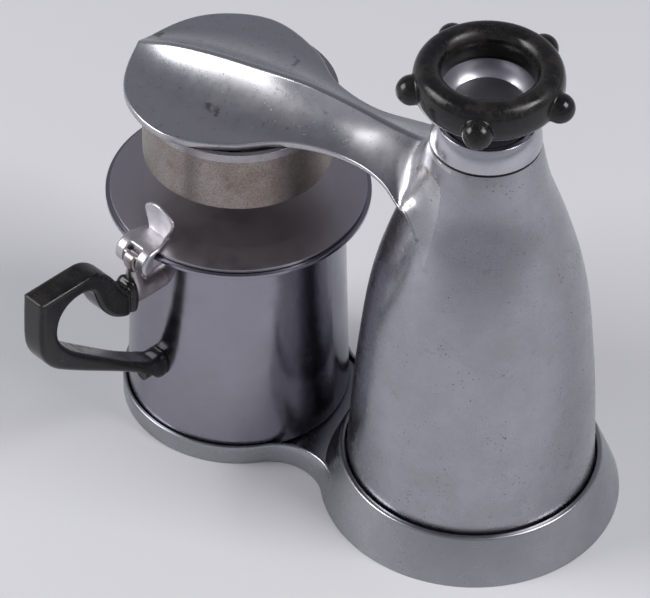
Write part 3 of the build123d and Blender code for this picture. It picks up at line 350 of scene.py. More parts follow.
def skin(field, low, high, step):
    """Smooth closed mesh where a field of distances crosses zero, as vertices and faces."""
    axes = [np.arange(a - step, b + 2 * step, step) for a, b in zip(low, high)]
    grid = np.stack(np.meshgrid(*axes, indexing="ij"), -1)
    solid = field(grid) < 0
    n = [length - 1 for length in solid.shape]
    corners = sum(solid[i:i + n[0], j:j + n[1], k:k + n[2]].astype(int)
                  for i in (0, 1) for j in (0, 1) for k in (0, 1))
    active = (corners > 0) & (corners < 8)
    index = np.full(active.shape, -1)
    index[active] = np.arange(active.sum())
    middle = grid[:-1, :-1, :-1][active] + step / 2
    p = middle.copy()
    for _ in range(SETTLE_ROUNDS):
        here = field(p)
        slope = np.stack([(field(p + SLOPE_STEP * axis) - here) / SLOPE_STEP for axis in np.eye(3)], -1)
        p -= SETTLE_SHARE * (here / np.maximum((slope ** 2).sum(-1), LEAST_SLOPE))[..., None] * slope
        p = np.clip(p, middle - SETTLE_REACH * step, middle + SETTLE_REACH * step)
    faces = []
    for axis in range(3):
        turned = (axis, (axis + 1) % 3, (axis + 2) % 3)
        s, cells = solid.transpose(turned), index.transpose(turned)
        i, j, k = np.nonzero(s[:-1, 1:-1, 1:-1] != s[1:, 1:-1, 1:-1])
        around = [cells[i, j, k], cells[i, j + 1, k], cells[i, j + 1, k + 1], cells[i, j, k + 1]]
        quads = np.stack(around, 1)
        flip = ~s[:-1, 1:-1, 1:-1][i, j, k]
        quads[flip] = quads[flip][:, ::-1]
        faces.append(quads)
    return p, np.concatenate(faces)


def from_handle_plane(shell):
    """Places (s, n, z) of the handle's plane as places in the frame."""
    p, faces = shell
    a = radians(HANDLE_ANGLE)
    x = JUG_X + p[:, 0] * cos(a) - p[:, 1] * sin(a)
    y = p[:, 0] * sin(a) + p[:, 1] * cos(a)
    return np.stack([x, y, p[:, 2]], 1), faces


# Shader groups


def new_group(name, inputs, outputs):
    group = bpy.data.node_groups.new(name, "ShaderNodeTree")
    for label, kind, value in inputs:
        socket = group.interface.new_socket(label, in_out="INPUT", socket_type=kind)
        if value is not None:
            socket.default_value = value
    for label, kind in outputs:
        group.interface.new_socket(label, in_out="OUTPUT", socket_type=kind)
    start = group.nodes.new("NodeGroupInput")
    end = group.nodes.new("NodeGroupOutput")
    return group, start, end


class Tree:
    """Short calls for wiring a node tree."""

    def __init__(self, tree):
        self.tree = tree

    def add(self, kind, **settings):
        node = self.tree.nodes.new(kind)
        for key, value in settings.items():
            setattr(node, key, value)
        return node

    def link(self, source, target):
        self.tree.links.new(source, target)

    def feed(self, socket, value):
        if hasattr(value, "is_linked"):
            self.link(value, socket)
        else:
            socket.default_value = value

    def math(self, operation, a, b=0.5, clamp=False):
        node = self.add("ShaderNodeMath", operation=operation, use_clamp=clamp)
        self.feed(node.inputs[0], a)
        self.feed(node.inputs[1], b)
        return node.outputs[0]

    def mix(self, share, a, b):
        node = self.add("ShaderNodeMix", data_type="RGBA")
        self.feed(node.inputs[0], share)
        self.feed(node.inputs[6], a)
        self.feed(node.inputs[7], b)
        return node.outputs[2]

    def ramp(self, value, stops):
        """Colour ramp; the first two stops are its own two, and the rest are added."""
        node = self.add("ShaderNodeValToRGB")
        for k, (place, colour) in enumerate(stops):
            shade = (colour, colour, colour, 1.0) if isinstance(colour, float) else colour
            if k < 2:
                stop = node.color_ramp.elements[k]
                stop.position = place
            else:
                stop = node.color_ramp.elements.new(place)
            stop.color = shade
        self.feed(node.inputs[0], value)
        return node.outputs[0]

    def noise(self, coords, scale, detail=3.0, rough=0.5, distortion=0.0):
        node = self.add("ShaderNodeTexNoise")
        self.feed(node.inputs["Vector"], coords)
        self.feed(node.inputs["Scale"], scale)
        node.inputs["Detail"].default_value = detail
        node.inputs["Roughness"].default_value = rough
        node.inputs["Distortion"].default_value = distortion
        return node.outputs["Fac"]

    def voronoi(self, coords, scale):
        node = self.add("ShaderNodeTexVoronoi")
        self.feed(node.inputs["Vector"], coords)
        self.feed(node.inputs["Scale"], scale)
        return node.outputs["Distance"]

    def moved(self, coords, place):
        node = self.add("ShaderNodeMapping")
        self.feed(node.inputs["Vector"], coords)
        node.inputs["Location"].default_value = place
        return node.outputs[0]


def build_pits():
    """Scattered corrosion pits, gathered in patches."""
    group, start, end = new_group(
        "pits",
        [("Vector", "NodeSocketVector", None), ("Scale", "NodeSocketFloat", 400.0),
         ("Amount", "NodeSocketFloat", 0.3)],
        [("Mask", "NodeSocketFloat")])
    t = Tree(group)
    coords, scale, amount = start.outputs["Vector"], start.outputs["Scale"], start.outputs["Amount"]
    warped = t.add("ShaderNodeVectorMath", operation="MULTIPLY_ADD")
    wobble = t.add("ShaderNodeTexNoise")
    t.feed(wobble.inputs["Vector"], coords)
    t.feed(wobble.inputs["Scale"], t.math("MULTIPLY", scale, 2.2))
    t.feed(warped.inputs[0], wobble.outputs["Color"])
    warped.inputs[1].default_value = (0.0012, 0.0012, 0.0012)
    t.feed(warped.inputs[2], coords)
    distance = t.voronoi(warped.outputs[0], scale)
    patch = t.noise(coords, t.math("MULTIPLY", scale, 0.12), detail=4.0, rough=0.6)
    gathered = t.math("SUBTRACT", patch, 0.42, clamp=True)
    reach = t.math("MULTIPLY", gathered, t.math("MULTIPLY", amount, 4.0))
    pit = t.math("SUBTRACT", 1.0, t.math("DIVIDE", distance, t.math("ADD", reach, 0.02)), clamp=True)
    t.link(t.math("MULTIPLY", pit, 2.0, clamp=True), end.inputs["Mask"])
    return group


def build_worms():
    """Fine crawling corrosion lines, broken into short pieces."""
    group, start, end = new_group(
        "worm marks",
        [("Vector", "NodeSocketVector", None), ("Scale", "NodeSocketFloat", 120.0),
         ("Width", "NodeSocketFloat", 0.02)],
        [("Mask", "NodeSocketFloat")])
    t = Tree(group)
    coords, scale = start.outputs["Vector"], start.outputs["Scale"]
    bend = t.noise(coords, scale, detail=2.0, rough=0.55, distortion=1.4)
    line = t.math("ABSOLUTE", t.math("SUBTRACT", bend, 0.5))
    thin = t.math("SUBTRACT", 1.0, t.math("DIVIDE", line, start.outputs["Width"]), clamp=True)
    broken = t.noise(coords, t.math("MULTIPLY", scale, 1.7), detail=3.0)
    gate = t.math("MULTIPLY", t.math("SUBTRACT", broken, 0.53, clamp=True), 12.0, clamp=True)
    t.link(t.math("MULTIPLY", thin, gate), end.inputs["Mask"])
    return group


def build_mottle():
    """Soft cloudy variation between 0 and 1 on two scales."""
    group, start, end = new_group(
        "mottle",
        [("Vector", "NodeSocketVector", None), ("Scale", "NodeSocketFloat", 40.0),
         ("Contrast", "NodeSocketFloat", 2.0)],
        [("Value", "NodeSocketFloat")])
    t = Tree(group)
    coords, scale = start.outputs["Vector"], start.outputs["Scale"]
    broad = t.noise(coords, scale, detail=5.0, rough=0.6)
    fine = t.noise(coords, t.math("MULTIPLY", scale, 6.0), detail=4.0, rough=0.7)
    both = t.math("ADD", t.math("MULTIPLY", broad, 0.7), t.math("MULTIPLY", fine, 0.3))
    spread = t.math("MULTIPLY", t.math("SUBTRACT", both, 0.5), start.outputs["Contrast"])
    t.link(t.math("ADD", spread, 0.5, clamp=True), end.inputs["Value"])
    return group


def build_turned_grain():
    """Fine rings left by turning and polishing about an upright axis."""
    group, start, end = new_group(
        "turned grain",
        [("Vector", "NodeSocketVector", None), ("Scale", "NodeSocketFloat", 1500.0)],
        [("Height", "NodeSocketFloat")])
    t = Tree(group)
    parts = t.add("ShaderNodeSeparateXYZ")
    t.link(start.outputs["Vector"], parts.inputs[0])
    x, y, z = parts.outputs
    r = t.math("SQRT", t.math("ADD", t.math("MULTIPLY", x, x), t.math("MULTIPLY", y, y)))
    around = t.math("MULTIPLY", t.math("ARCTAN2", y, x), 0.0012)
    line = t.add("ShaderNodeCombineXYZ")
    t.link(r, line.inputs[0])
    t.link(around, line.inputs[1])
    t.link(z, line.inputs[2])
    t.link(t.noise(line.outputs[0], start.outputs["Scale"], detail=4.0, rough=0.65), end.inputs["Height"])
    return group


def build_worn():
    """Dull patches with ragged edges, gathered on the upper faces."""
    group, start, end = new_group(
        "worn", [("Vector", "NodeSocketVector", None)], [("Value", "NodeSocketFloat")])
    t = Tree(group)
    coords = start.outputs["Vector"]
    patch = t.noise(coords, 95.0, detail=5.0, rough=0.7)
    ragged = t.math("MULTIPLY", t.math("SUBTRACT", patch, 0.47, clamp=True), 7.0, clamp=True)
    parts = t.add("ShaderNodeSeparateXYZ")
    t.link(t.add("ShaderNodeNewGeometry").outputs["Normal"], parts.inputs[0])
    up = t.math("MULTIPLY", t.math("ADD", parts.outputs[2], 0.45, clamp=True), 0.9, clamp=True)
    t.link(t.math("MULTIPLY", ragged, up), end.inputs["Value"])
    return group


PITS = build_pits()
WORN = build_worn()
WORMS = build_worms()
MOTTLE = build_mottle()
GRAIN = build_turned_grain()


def new_material(name):
    material = bpy.data.materials.new(name)
    material.use_nodes = True
    tree = Tree(material.node_tree)
    shader = material.node_tree.nodes["Principled BSDF"]
    coords = tree.add("ShaderNodeTexCoord").outputs["Object"]
    return material, tree, shader, coords


def use_group(tree, group, output, **values):
    node = tree.add("ShaderNodeGroup", node_tree=group)
    for label, value in values.items():
        tree.feed(node.inputs[label], value)
    return node.outputs[output]


def bump(tree, shader, layers, soft_edge=0.0):
    """Chain of bumps from (height, strength, distance in millimetres), over edges softened by a radius."""
    normal = None
    if soft_edge:
        bevel = tree.add("ShaderNodeBevel", samples=6)
        bevel.inputs["Radius"].default_value = soft_edge * MM
        normal = bevel.outputs[0]
    for height, strength, distance in layers:
        node = tree.add("ShaderNodeBump")
        node.inputs["Strength"].default_value = strength
        node.inputs["Distance"].default_value = distance * MM
        tree.feed(node.inputs["Height"], height)
        if normal is not None:
            tree.link(normal, node.inputs["Normal"])
        normal = node.outputs[0]
    tree.link(normal, shader.inputs["Normal"])


def rgb(r, g, b):
    return (r, g, b, 1.0)


PIT_DARK = rgb(0.09, 0.08, 0.075)
SMALL_PIT_DARK = rgb(0.05, 0.045, 0.04)
WORM_GREY = rgb(0.16, 0.14, 0.13)
GRIT_BROWN = rgb(0.10, 0.075, 0.06)
SPOT_OLIVE = rgb(0.15, 0.135, 0.09)
MOULDING_DUST = rgb(0.030, 0.025, 0.021)
MOULDING_SPECK = rgb(0.09, 0.08, 0.065)


def aluminium(name, colour, stain, roughness, pits=0.25, worms=0.0, stain_share=0.35, grain=0.0,
              centre=(0.0, 0.0, 0.0), soft_edge=0.0, speckle=0.0, spots=0.0):
    """Old aluminium: cloudy tone, pits, worm marks, grit, spots and turning rings, as strong as asked."""
    material, t, shader, coords = new_material(name)
    local = t.moved(coords, tuple(-c * MM for c in centre))
    broad = use_group(t, MOTTLE, "Value", Vector=local, Scale=18.0, Contrast=3.0)
    fine = use_group(t, MOTTLE, "Value", Vector=local, Scale=140.0, Contrast=2.2)
    pit = use_group(t, PITS, "Mask", Vector=local, Scale=520.0, Amount=pits)
    worm = use_group(t, WORMS, "Mask", Vector=local, Scale=190.0, Width=0.014)
    tone = t.mix(t.math("MULTIPLY", broad, stain_share), colour, stain)
    tone = t.mix(t.math("MULTIPLY", fine, 0.18), tone, rgb(*(0.82 * c for c in colour[:3])))
    tone = t.mix(t.math("MULTIPLY", worm, worms), tone, WORM_GREY)
    if speckle:
        grit = t.ramp(t.noise(local, 1500.0, detail=5.0, rough=0.8), [(0.44, 0.0), (0.62, 1.0)])
        tone = t.mix(t.math("MULTIPLY", grit, speckle), tone, GRIT_BROWN)
    if spots:
        spot = t.ramp(t.noise(local, 75.0, detail=4.0, rough=0.62), [(0.64, 0.0), (0.70, 1.0)])
        tone = t.mix(t.math("MULTIPLY", spot, spots), tone, SPOT_OLIVE)
    tone = t.mix(t.math("MULTIPLY", pit, 0.6), tone, PIT_DARK)
    t.link(tone, shader.inputs["Base Color"])
    shader.inputs["Metallic"].default_value = 1.0
    rough = t.math("ADD", t.math("MULTIPLY", fine, 0.12), roughness - 0.06)
    rough = t.math("ADD", rough, t.math("MULTIPLY", t.math("SUBTRACT", broad, 0.5), 0.1))
    rough = t.math("ADD", rough, t.math("MULTIPLY", pit, 0.3), clamp=True)
    t.link(rough, shader.inputs["Roughness"])
    layers = [(t.math("MULTIPLY", pit, -1.0), 0.5, 0.12),
              (t.noise(local, 900.0, detail=4.0, rough=0.6), 0.12, 0.05)]
    if grain:
        layers.append((use_group(t, GRAIN, "Height", Vector=local, Scale=2600.0), grain, 0.02))
    bump(t, shader, layers, soft_edge)
    return material


def plain_metal(name, colour, tarnish, roughness, share=0.4, soft_edge=0.35):
    """Small metal part with tarnish gathered in patches."""
    material, t, shader, coords = new_material(name)
    patch = use_group(t, MOTTLE, "Value", Vector=coords, Scale=130.0, Contrast=3.5)
    pit = use_group(t, PITS, "Mask", Vector=coords, Scale=700.0, Amount=0.3)
    tone = t.mix(t.math("MULTIPLY", patch, share), colour, tarnish)
    tone = t.mix(t.math("MULTIPLY", pit, 0.6), tone, SMALL_PIT_DARK)
    t.link(tone, shader.inputs["Base Color"])
    shader.inputs["Metallic"].default_value = 1.0
    rough = t.math("ADD", t.math("MULTIPLY", patch, 0.25), roughness, clamp=True)
    t.link(rough, shader.inputs["Roughness"])
    bump(t, shader, [(t.math("MULTIPLY", pit, -1.0), 0.5, 0.08), (patch, 0.15, 0.05)], soft_edge)
    return material


def black_moulding():
    """Black moulded resin, worn dull and dusty in patches, with paler specks in its pores."""
    material, t, shader, coords = new_material("black_moulding")
    cloud = use_group(t, MOTTLE, "Value", Vector=coords, Scale=60.0, Contrast=3.0)
    speck = use_group(t, PITS, "Mask", Vector=coords, Scale=900.0, Amount=0.35)
    tone = t.mix(t.math("MULTIPLY", cloud, 0.5), rgb(0.004, 0.004, 0.0045), rgb(0.014, 0.012, 0.010))
    dust = t.math("MULTIPLY", use_group(t, WORN, "Value", Vector=coords), 0.5)
    tone = t.mix(dust, tone, MOULDING_DUST)
    tone = t.mix(t.math("MULTIPLY", speck, 0.35), tone, MOULDING_SPECK)
    t.link(tone, shader.inputs["Base Color"])
    rough = t.math("ADD", t.math("MULTIPLY", cloud, 0.08), 0.13)
    t.link(t.math("ADD", rough, t.math("MULTIPLY", dust, 0.45), clamp=True), shader.inputs["Roughness"])
    shader.inputs["Specular IOR Level"].default_value = 0.4
    bump(t, shader, [(cloud, 0.2, 0.15), (t.math("MULTIPLY", speck, -1.0), 0.35, 0.06),
                     (t.noise(coords, 1500.0, detail=3.0), 0.1, 0.03)])
    return material


def seal_rubber():
    """Dull brown-black seal."""
    material, t, shader, coords = new_material("seal_rubber")
    cloud = use_group(t, MOTTLE, "Value", Vector=coords, Scale=90.0, Contrast=2.5)
    t.link(t.mix(cloud, rgb(0.02, 0.017, 0.015), rgb(0.06, 0.045, 0.035)), shader.inputs["Base Color"])
    shader.inputs["Roughness"].default_value = 0.75
    bump(t, shader, [(cloud, 0.3, 0.1)])
    return material


# The bell and the hood are one casting: the hood's lighter colour is painted light on its upward faces, and
# the bell's darker colour is painted shade on its upright sides. The hood's worm marks and spots are real
# corrosion.
CAST = aluminium("cast_aluminium", rgb(0.43, 0.43, 0.47), rgb(0.27, 0.26, 0.275), 0.27,
                 pits=0.24, grain=0.10, worms=0.12, spots=0.25, stain_share=0.6)
HOOD = aluminium("hood_aluminium", rgb(0.54, 0.54, 0.57), rgb(0.40, 0.37, 0.36), 0.30,
                 pits=0.20, worms=0.7, spots=0.75)
STAND = aluminium("stand_aluminium", rgb(0.42, 0.42, 0.45), rgb(0.27, 0.26, 0.27), 0.29,
                  pits=0.18, stain_share=0.55)
JUG = aluminium("jug_aluminium", rgb(0.33, 0.325, 0.375), rgb(0.22, 0.21, 0.235), 0.21,
                pits=0.12, grain=0.12, centre=(JUG_X, 0, 0), soft_edge=0.5)
LID = aluminium("lid_aluminium", rgb(0.50, 0.48, 0.52), rgb(0.38, 0.335, 0.34), 0.40,
                pits=0.10, grain=0.12, centre=(JUG_X, 0, 0), soft_edge=0.5)
POLISHED = aluminium("polished_aluminium", rgb(0.54, 0.54, 0.58), rgb(0.38, 0.36, 0.38), 0.22,
                     pits=0.12, grain=0.15, soft_edge=0.5)
CUP = aluminium("stained_aluminium", rgb(0.46, 0.42, 0.40), rgb(0.22, 0.165, 0.12), 0.40,
                pits=0.2, stain_share=0.85, speckle=0.6, spots=0.4, centre=(JUG_X, 0, 0), soft_edge=0.5)
STEEL = plain_metal("steel", rgb(0.40, 0.39, 0.38), rgb(0.22, 0.18, 0.15), 0.3)
BRIGHT_STEEL = plain_metal("polished_steel", rgb(0.44, 0.43, 0.45), rgb(0.24, 0.20, 0.18), 0.20)
BRASS = plain_metal("brass", rgb(0.24, 0.18, 0.10), rgb(0.12, 0.085, 0.05), 0.42)
SATIN = aluminium("satin_aluminium", rgb(0.58, 0.57, 0.62), rgb(0.42, 0.40, 0.43), 0.36,
                  pits=0.1, grain=0.1, soft_edge=0.5)
# Dark grey aluminium for the filler plug and the hub cap, which sit down inside the collar and the wheel's
# bowl: a dull finish, darkened further as painted shade.
DULL_SHADED = aluminium("dull_shaded_aluminium", rgb(0.24, 0.24, 0.26), rgb(0.15, 0.14, 0.14), 0.48, pits=0.15)
BRACKET = plain_metal("bracket_metal", rgb(0.11, 0.10, 0.095), rgb(0.05, 0.04, 0.035), 0.38, share=0.7)
HINGE = plain_metal("hinge_metal", rgb(0.56, 0.55, 0.58), rgb(0.42, 0.36, 0.34), 0.26,
                    share=0.2, soft_edge=0.0)
LEAF_METAL = plain_metal("leaf_metal", rgb(0.58, 0.57, 0.60), rgb(0.44, 0.40, 0.38), 0.34,
                         share=0.2, soft_edge=0.0)
STUB_METAL = plain_metal("stub_metal", rgb(0.52, 0.49, 0.51), rgb(0.22, 0.15, 0.11), 0.26,
                         share=0.5, soft_edge=0.0)
BLACK = black_moulding()
SEAL = seal_rubber()

NODE_MATERIALS = {
    "base_stand": STAND, "stand_screws": STEEL, "boiler_body": CAST, "boiler_floor": CAST,
    "riser_tube": CAST, "neck_collar": POLISHED, "collar_gasket": SEAL, "filler_plug": DULL_SHADED,
    "plug_gasket": SEAL, "relief_ball": STEEL, "relief_spring": STEEL, "relief_screw": BRASS,
    "wheel_bowl": SATIN, "hub_cap": DULL_SHADED, "hand_wheel": BLACK, "bayonet_ring": BRIGHT_STEEL,
    "bayonet_screws": STEEL, "head_gasket": SEAL, "shower_screen": STEEL, "shower_screw": STEEL,
    "filter_cup": CUP, "filter_basket": CUP, "jug_body": JUG, "handle_bracket": BRACKET,
    "lower_boss": BRACKET, "bracket_rivets": BRACKET, "jug_handle": BLACK, "handle_pins": STEEL,
    "jug_lid": LID, "lid_bracket": HINGE, "thumb_piece": HINGE, "lid_rivets": HINGE, "hinge_pin": HINGE,
}
for node_name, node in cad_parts.items():
    node.data.materials.clear()
    node.data.materials.append(NODE_MATERIALS[node_name])


# Bell


def bell_profile(inset, z0, z1, count=70):
    """Points up the bell's side, drawn inwards by inset."""
    heights = np.linspace(z0, z1, count)
    radii = curve_through([(z, r) for r, z in BELL], heights)
    return [(float(r) - inset, float(z)) for r, z in zip(radii, heights)]


def bell_radius(z):
    return float(curve_through([(z, r) for r, z in BELL], z))


def bell_height(r):
    """Height of the bell's side at a radius, and inside the neck the same slope carried on."""
    profile = bell_profile(0, 0, NECK_TOP_Z, 400)
    radii = np.array([p[0] for p in profile])[::-1]
    heights = np.array([p[1] for p in profile])[::-1]
    slope = (heights[1] - heights[0]) / (radii[1] - radii[0])
    beyond = np.maximum(radii[0] - r, 0.0)
    return np.interp(r, radii, heights) - slope * beyond


def make_bell():
    """Shell of the boiler, with its foot flange and the bore of its neck."""
    inside = bell_profile(BELL_WALL, 0, BELL_INSIDE_TOP_Z)
    outside = bell_profile(0, FLANGE_Z[1], NECK_TOP_Z)
    top_r = outside[-1][0]
    outline = [(FLANGE_R, FLANGE_Z[0]), (FLANGE_R, FLANGE_Z[1])] + outside[:-1]
    outline += [(top_r - back, NECK_TOP_Z - down) for back, down in NECK_LIP]
    outline += [(NECK_BORE_R, NECK_TOP_Z), (NECK_BORE_R, BELL_INSIDE_TOP_Z)] + inside[::-1]
    outline += [(bell_radius(0.0), 0.0), (bell_radius(FLANGE_ROOT_Z), FLANGE_Z[0])]
    make_piece("bell", lathe(outline, closed=True), "stand", CAST, ["boiler_body"])


# Arm and hood


def roof_height(x, y):
    """Roof of the hood and the arm: a narrow crest with hollow flanks that run out flat."""
    crest = curve_through(CREST, x)
    flank = curve_through(FLANK, x)
    edge = curve_through(EDGE, x)
    reach = flank - CREST_HALF_W
    rise = crest - CREST_ROUND - edge
    rho = (reach ** 2 + rise ** 2) / (2 * rise)
    out = np.clip(np.abs(y) - CREST_HALF_W, 0.0, None)
    into = np.clip(reach - out, 0.0, None)
    hollow = edge + rho - np.sqrt(np.maximum(rho ** 2 - into ** 2, 0.0))
    full = edge + rise * np.clip(into / reach, 0.0, 1.0) ** FULL_POWER
    hollow = hollow + (full - hollow) * smoothstep(FULL_FROM_X, FULL_TO_X, x)
    peak = crest - CREST_ROUND * (np.minimum(np.abs(y), CREST_HALF_W) / CREST_HALF_W) ** 2
    return np.where(np.abs(y) < CREST_HALF_W, peak, hollow)


def fairing_height(x, y):
    """Flare that carries the arm on to the bell and dies out round its sides."""
    r = np.hypot(x, y)
    bell = bell_height(r)
    flare = curve_through(FAIRING, r)
    away = np.degrees(np.arctan2(np.abs(y), -x))
    share = 1 - smoothstep(FAIRING_FADE[0], FAIRING_FADE[1], away)
    return bell + np.maximum(flare - bell, 0.0) * share - FAIRING_SINK * (1 - share)


def arm_height(x, y):
    """Roof and flare blended together, kept under the neck's top."""
    roof = roof_height(x, y)
    blend = ROOF_BLEND[0] + ROOF_BLEND[1] * smoothstep(*ROOF_BLEND_Z, roof)
    return np.minimum(smooth_max(roof, fairing_height(x, y), blend), NECK_TOP_Z - NECK_GAP)


def arm_edge(count):
    """Plan points of the arm's side from the nose to the fairing's tip."""
    side = [(NOSE_X, 0.0), (NOSE_X + 2.0, 10.5)] + HOOD_SIDE + FAIRING_SIDE
    return spline_path(side, count)


def arm_spine(edge):
    """For each edge point, the place on the crest or round the neck where its rib starts."""
    neck, tip = FAIRING_SIDE[0][0], FAIRING_SIDE[-1][0]
    spine = []
    for x, y in edge:
        if x <= neck:
            share = smoothstep(WAIST_X, neck, x)
            spine.append((x * (1 - share) + -NECK_R * share, 0.0))
        else:
            turn = radians(NECK_WRAP) * (x - neck) / (tip - neck)
            spine.append((-NECK_R * cos(turn), NECK_R * sin(turn)))
    return np.array(spine)


def rim_depth(x):
    """How thick the casting is at its edge: full along the hood, nothing at the fairing's tip."""
    thinned = RIM_DEPTH * (1 - RIM_THINNING * smoothstep(*RIM_THINNING_X, x))
    return thinned * (1 - RIM_FADE * smoothstep(RIM_FADE_X, FAIRING_SIDE[-1][0], x))


def arm_half():
    """Rows of places over one half of the casting: the roof, its rounded rim and the underside."""
    edge = arm_edge(ARM_STATIONS)
    spine = arm_spine(edge)
    run = np.gradient(edge, axis=0)
    run /= np.linalg.norm(run, axis=1)[:, None]
    inward = np.stack([run[:, 1], -run[:, 0]], 1)
    depth = rim_depth(edge[:, 0])
    turn = RIM_ROUND - RIM_ROUND_LOSS * smoothstep(*RIM_ROUND_X, edge[:, 0])
    turn = np.minimum(turn, RIM_ROUND_SHARE * depth)
    inner = edge + inward * turn[:, None]
    across = np.linspace(0, 1, ARM_ROWS) ** ROW_CROWDING
    x = spine[:, 0][:, None] * (1 - across) + inner[:, 0][:, None] * across
    y = spine[:, 1][:, None] * (1 - across) + inner[:, 1][:, None] * across
    z = arm_height(x, y)
    rows = [np.stack([x[:, k], y[:, k], z[:, k]], 1) for k in range(ARM_ROWS)]
    top = z[:, -1]
    for angle in (22.5, 45.0, 67.5, 90.0):
        a = radians(angle)
        out = inner - inward * (turn * sin(a))[:, None]
        rows.append(np.stack([out[:, 0], out[:, 1], top - turn * (1 - cos(a))], 1))
    low = np.minimum(top - depth, np.where(edge[:, 0] < HOOD_END_X, HOOD_UNDER_Z, top - depth))
    under = turn * UNDER_ROUND_SHARE
    for angle in (0.0, 45.0, 90.0):
        a = radians(angle)
        out = edge + inward * (under * (1 - cos(a)))[:, None]
        rows.append(np.stack([out[:, 0], out[:, 1], low + under * (1 - sin(a))], 1))
    rows.append(np.stack([spine[:, 0], spine[:, 1], low], 1))
    return rows


def make_arm():
    rows = arm_half()
    half = np.concatenate(rows)
    faces = []
    for j in range(len(rows) - 1):
        for i in range(ARM_STATIONS - 1):
            a, b = j * ARM_STATIONS + i, j * ARM_STATIONS + i + 1
            faces.append((a, b, b + ARM_STATIONS, a + ARM_STATIONS))
    both = joined((half * (1, -1, 1), faces), (half, faces))
    make_piece("arm", both, "stand", HOOD, ["boiler_body"], sharp=50.0)


make_bell()
make_arm()


# Stand


def skirt_radius(z):
    """Radius of the skirt's cone at a height."""
    (foot_r, foot_z, _), (lip_r, lip_z, _) = SKIRT[:2]
    return foot_r + (lip_r - foot_r) * (z - foot_z) / (lip_z - foot_z)


def tray_path(inset, z):
    """Plan points of the tray's wall: round the tray, with a hollow curve at each end on to the skirt."""
    tray = TRAY_R - inset
    hollow = BRIDGE_FILLET_R + inset
    skirt = skirt_radius(z) - inset
    reach, span = tray + hollow, -JUG_X
    at_tray = acos((reach ** 2 + span ** 2 - (skirt + hollow) ** 2) / (2 * reach * span))
    at_skirt = acos(((skirt + hollow) ** 2 + span ** 2 - reach ** 2) / (2 * (skirt + hollow) * span))
    middle = (JUG_X + reach * cos(at_tray), reach * sin(at_tray))
    ends = (-at_skirt, at_tray - pi)
    bridge_turns = np.linspace(*ends, BRIDGE_POINTS)
    tray_turns = np.linspace(at_tray, 2 * pi - at_tray, TRAY_POINTS)
    curve = [(middle[0] + hollow * cos(a), middle[1] + hollow * sin(a)) for a in bridge_turns]
    round_tray = [(JUG_X + tray * cos(a), tray * sin(a)) for a in tray_turns]
    return curve + round_tray[1:-1] + [(x, -y) for x, y in reversed(curve)]


def make_stand():
    """Skirt under the boiler and the tray that carries the jug, in one casting."""
    under, floor = TRAY_FLOOR_Z
    rings = [(0.0, TRAY_FOOT_CUT)] + [(0.0, z) for z in TRAY_RING_Z] + [(0.0, TRAY_LIP_Z - LIP_ROUND)]
    for angle in (30, 60, 90):
        a = radians(angle)
        rings.append((LIP_ROUND * (1 - cos(a)), TRAY_LIP_Z - LIP_ROUND * (1 - sin(a))))
    for angle in (60, 30, 0):
        a = radians(angle)
        rings.append((TRAY_WALL - LIP_ROUND * (1 - cos(a)), TRAY_LIP_Z - LIP_ROUND * (1 - sin(a))))
    rings += [(TRAY_WALL, floor + TRAY_CORNER), (TRAY_WALL + TRAY_CORNER_CUT, floor + TRAY_CORNER_CUT),
              (TRAY_WALL + TRAY_CORNER, floor)]
    top_ring = len(rings) - 1
    rings += [(TRAY_WALL + TRAY_CORNER, under), (TRAY_WALL + TRAY_CORNER, 0.0), (TRAY_FOOT_CUT, 0.0)]
    paths = [tray_path(inset, z) for inset, z in rings]
    count = len(paths[0])
    verts = [(x, y, z) for path, (_, z) in zip(paths, rings) for x, y in path]
    faces = []
    for k in range(len(rings)):
        if k == top_ring:
            continue
        here, there = k * count, (k + 1) % len(rings) * count
        faces += [(here + i, here + i + 1, there + i + 1, there + i) for i in range(count - 1)]
    top, bottom = top_ring * count, (top_ring + 1) * count
    faces += [tuple(range(top, top + count)), tuple(range(bottom, bottom + count)),
              (top, top + count - 1, bottom + count - 1, bottom)]
    faces += [tuple(k * count + end for k in range(len(rings))) for end in (0, count - 1)]
    shell = joined(lathe(rounded(SKIRT + SKIRT[:1])), (verts, faces))
    make_piece("stand_casting", shell, "stand", STAND, ["base_stand"])


make_stand()


# Handle, stub and hinge


def cut_corners(points, sharp, rounds=2):
    """Closed outline with its corners cut again and again, apart from the sharp ones."""
    for _ in range(rounds):
        cut = []
        for k, (u, v) in enumerate(points):
            if (u, v) in sharp:
                cut.append((u, v))
                continue
            for u2, v2 in (points[k - 1], points[(k + 1) % len(points)]):
                cut.append((0.75 * u + 0.25 * u2, 0.75 * v + 0.25 * v2))
        points = cut
    return points


SMOOTH_HANDLE = cut_corners(HANDLE, HANDLE[:1])
SMOOTH_PLATE = cut_corners(HINGE_PLATE, HINGE_PLATE[:1])
SMOOTH_LEAF = cut_corners(LEAF, [])


def oval(z, middle, half, least):
    """Half thickness of an oval end at a height; least keeps it from running out to nothing."""
    return half[0] * np.sqrt(np.clip(1 - ((z - middle) / half[1]) ** 2, least, 1.0))


def handle_field(p):
    """Flat handle with a round bulb at the stub, a groove round the bulb and a thinner pad at the boss."""
    s, n, z = p[..., 0], p[..., 1], p[..., 2]
    near_bulb = smoothstep(*BULB_FROM_S, s) * smoothstep(*BULB_FROM_Z, z)
    half = HANDLE_HALF + (oval(z, BULB_Z, BULB_HALF, BULB_LEAST) - HANDLE_HALF) * near_bulb
    groove = np.exp(-((s - GROOVE_S) / GROOVE_WIDTH) ** 2)
    half = half - GROOVE_DEPTH * groove * smoothstep(*BULB_FROM_Z, z)
    near_pad = smoothstep(*PAD_FROM_S, s) * smoothstep(*PAD_FROM_Z, z)
    half = half + (oval(z, PAD_Z, PAD_HALF, PAD_LEAST) - HANDLE_HALF) * near_pad
    return slab(outline_distance(SMOOTH_HANDLE, s, z), np.abs(n) - half, HANDLE_EDGE)


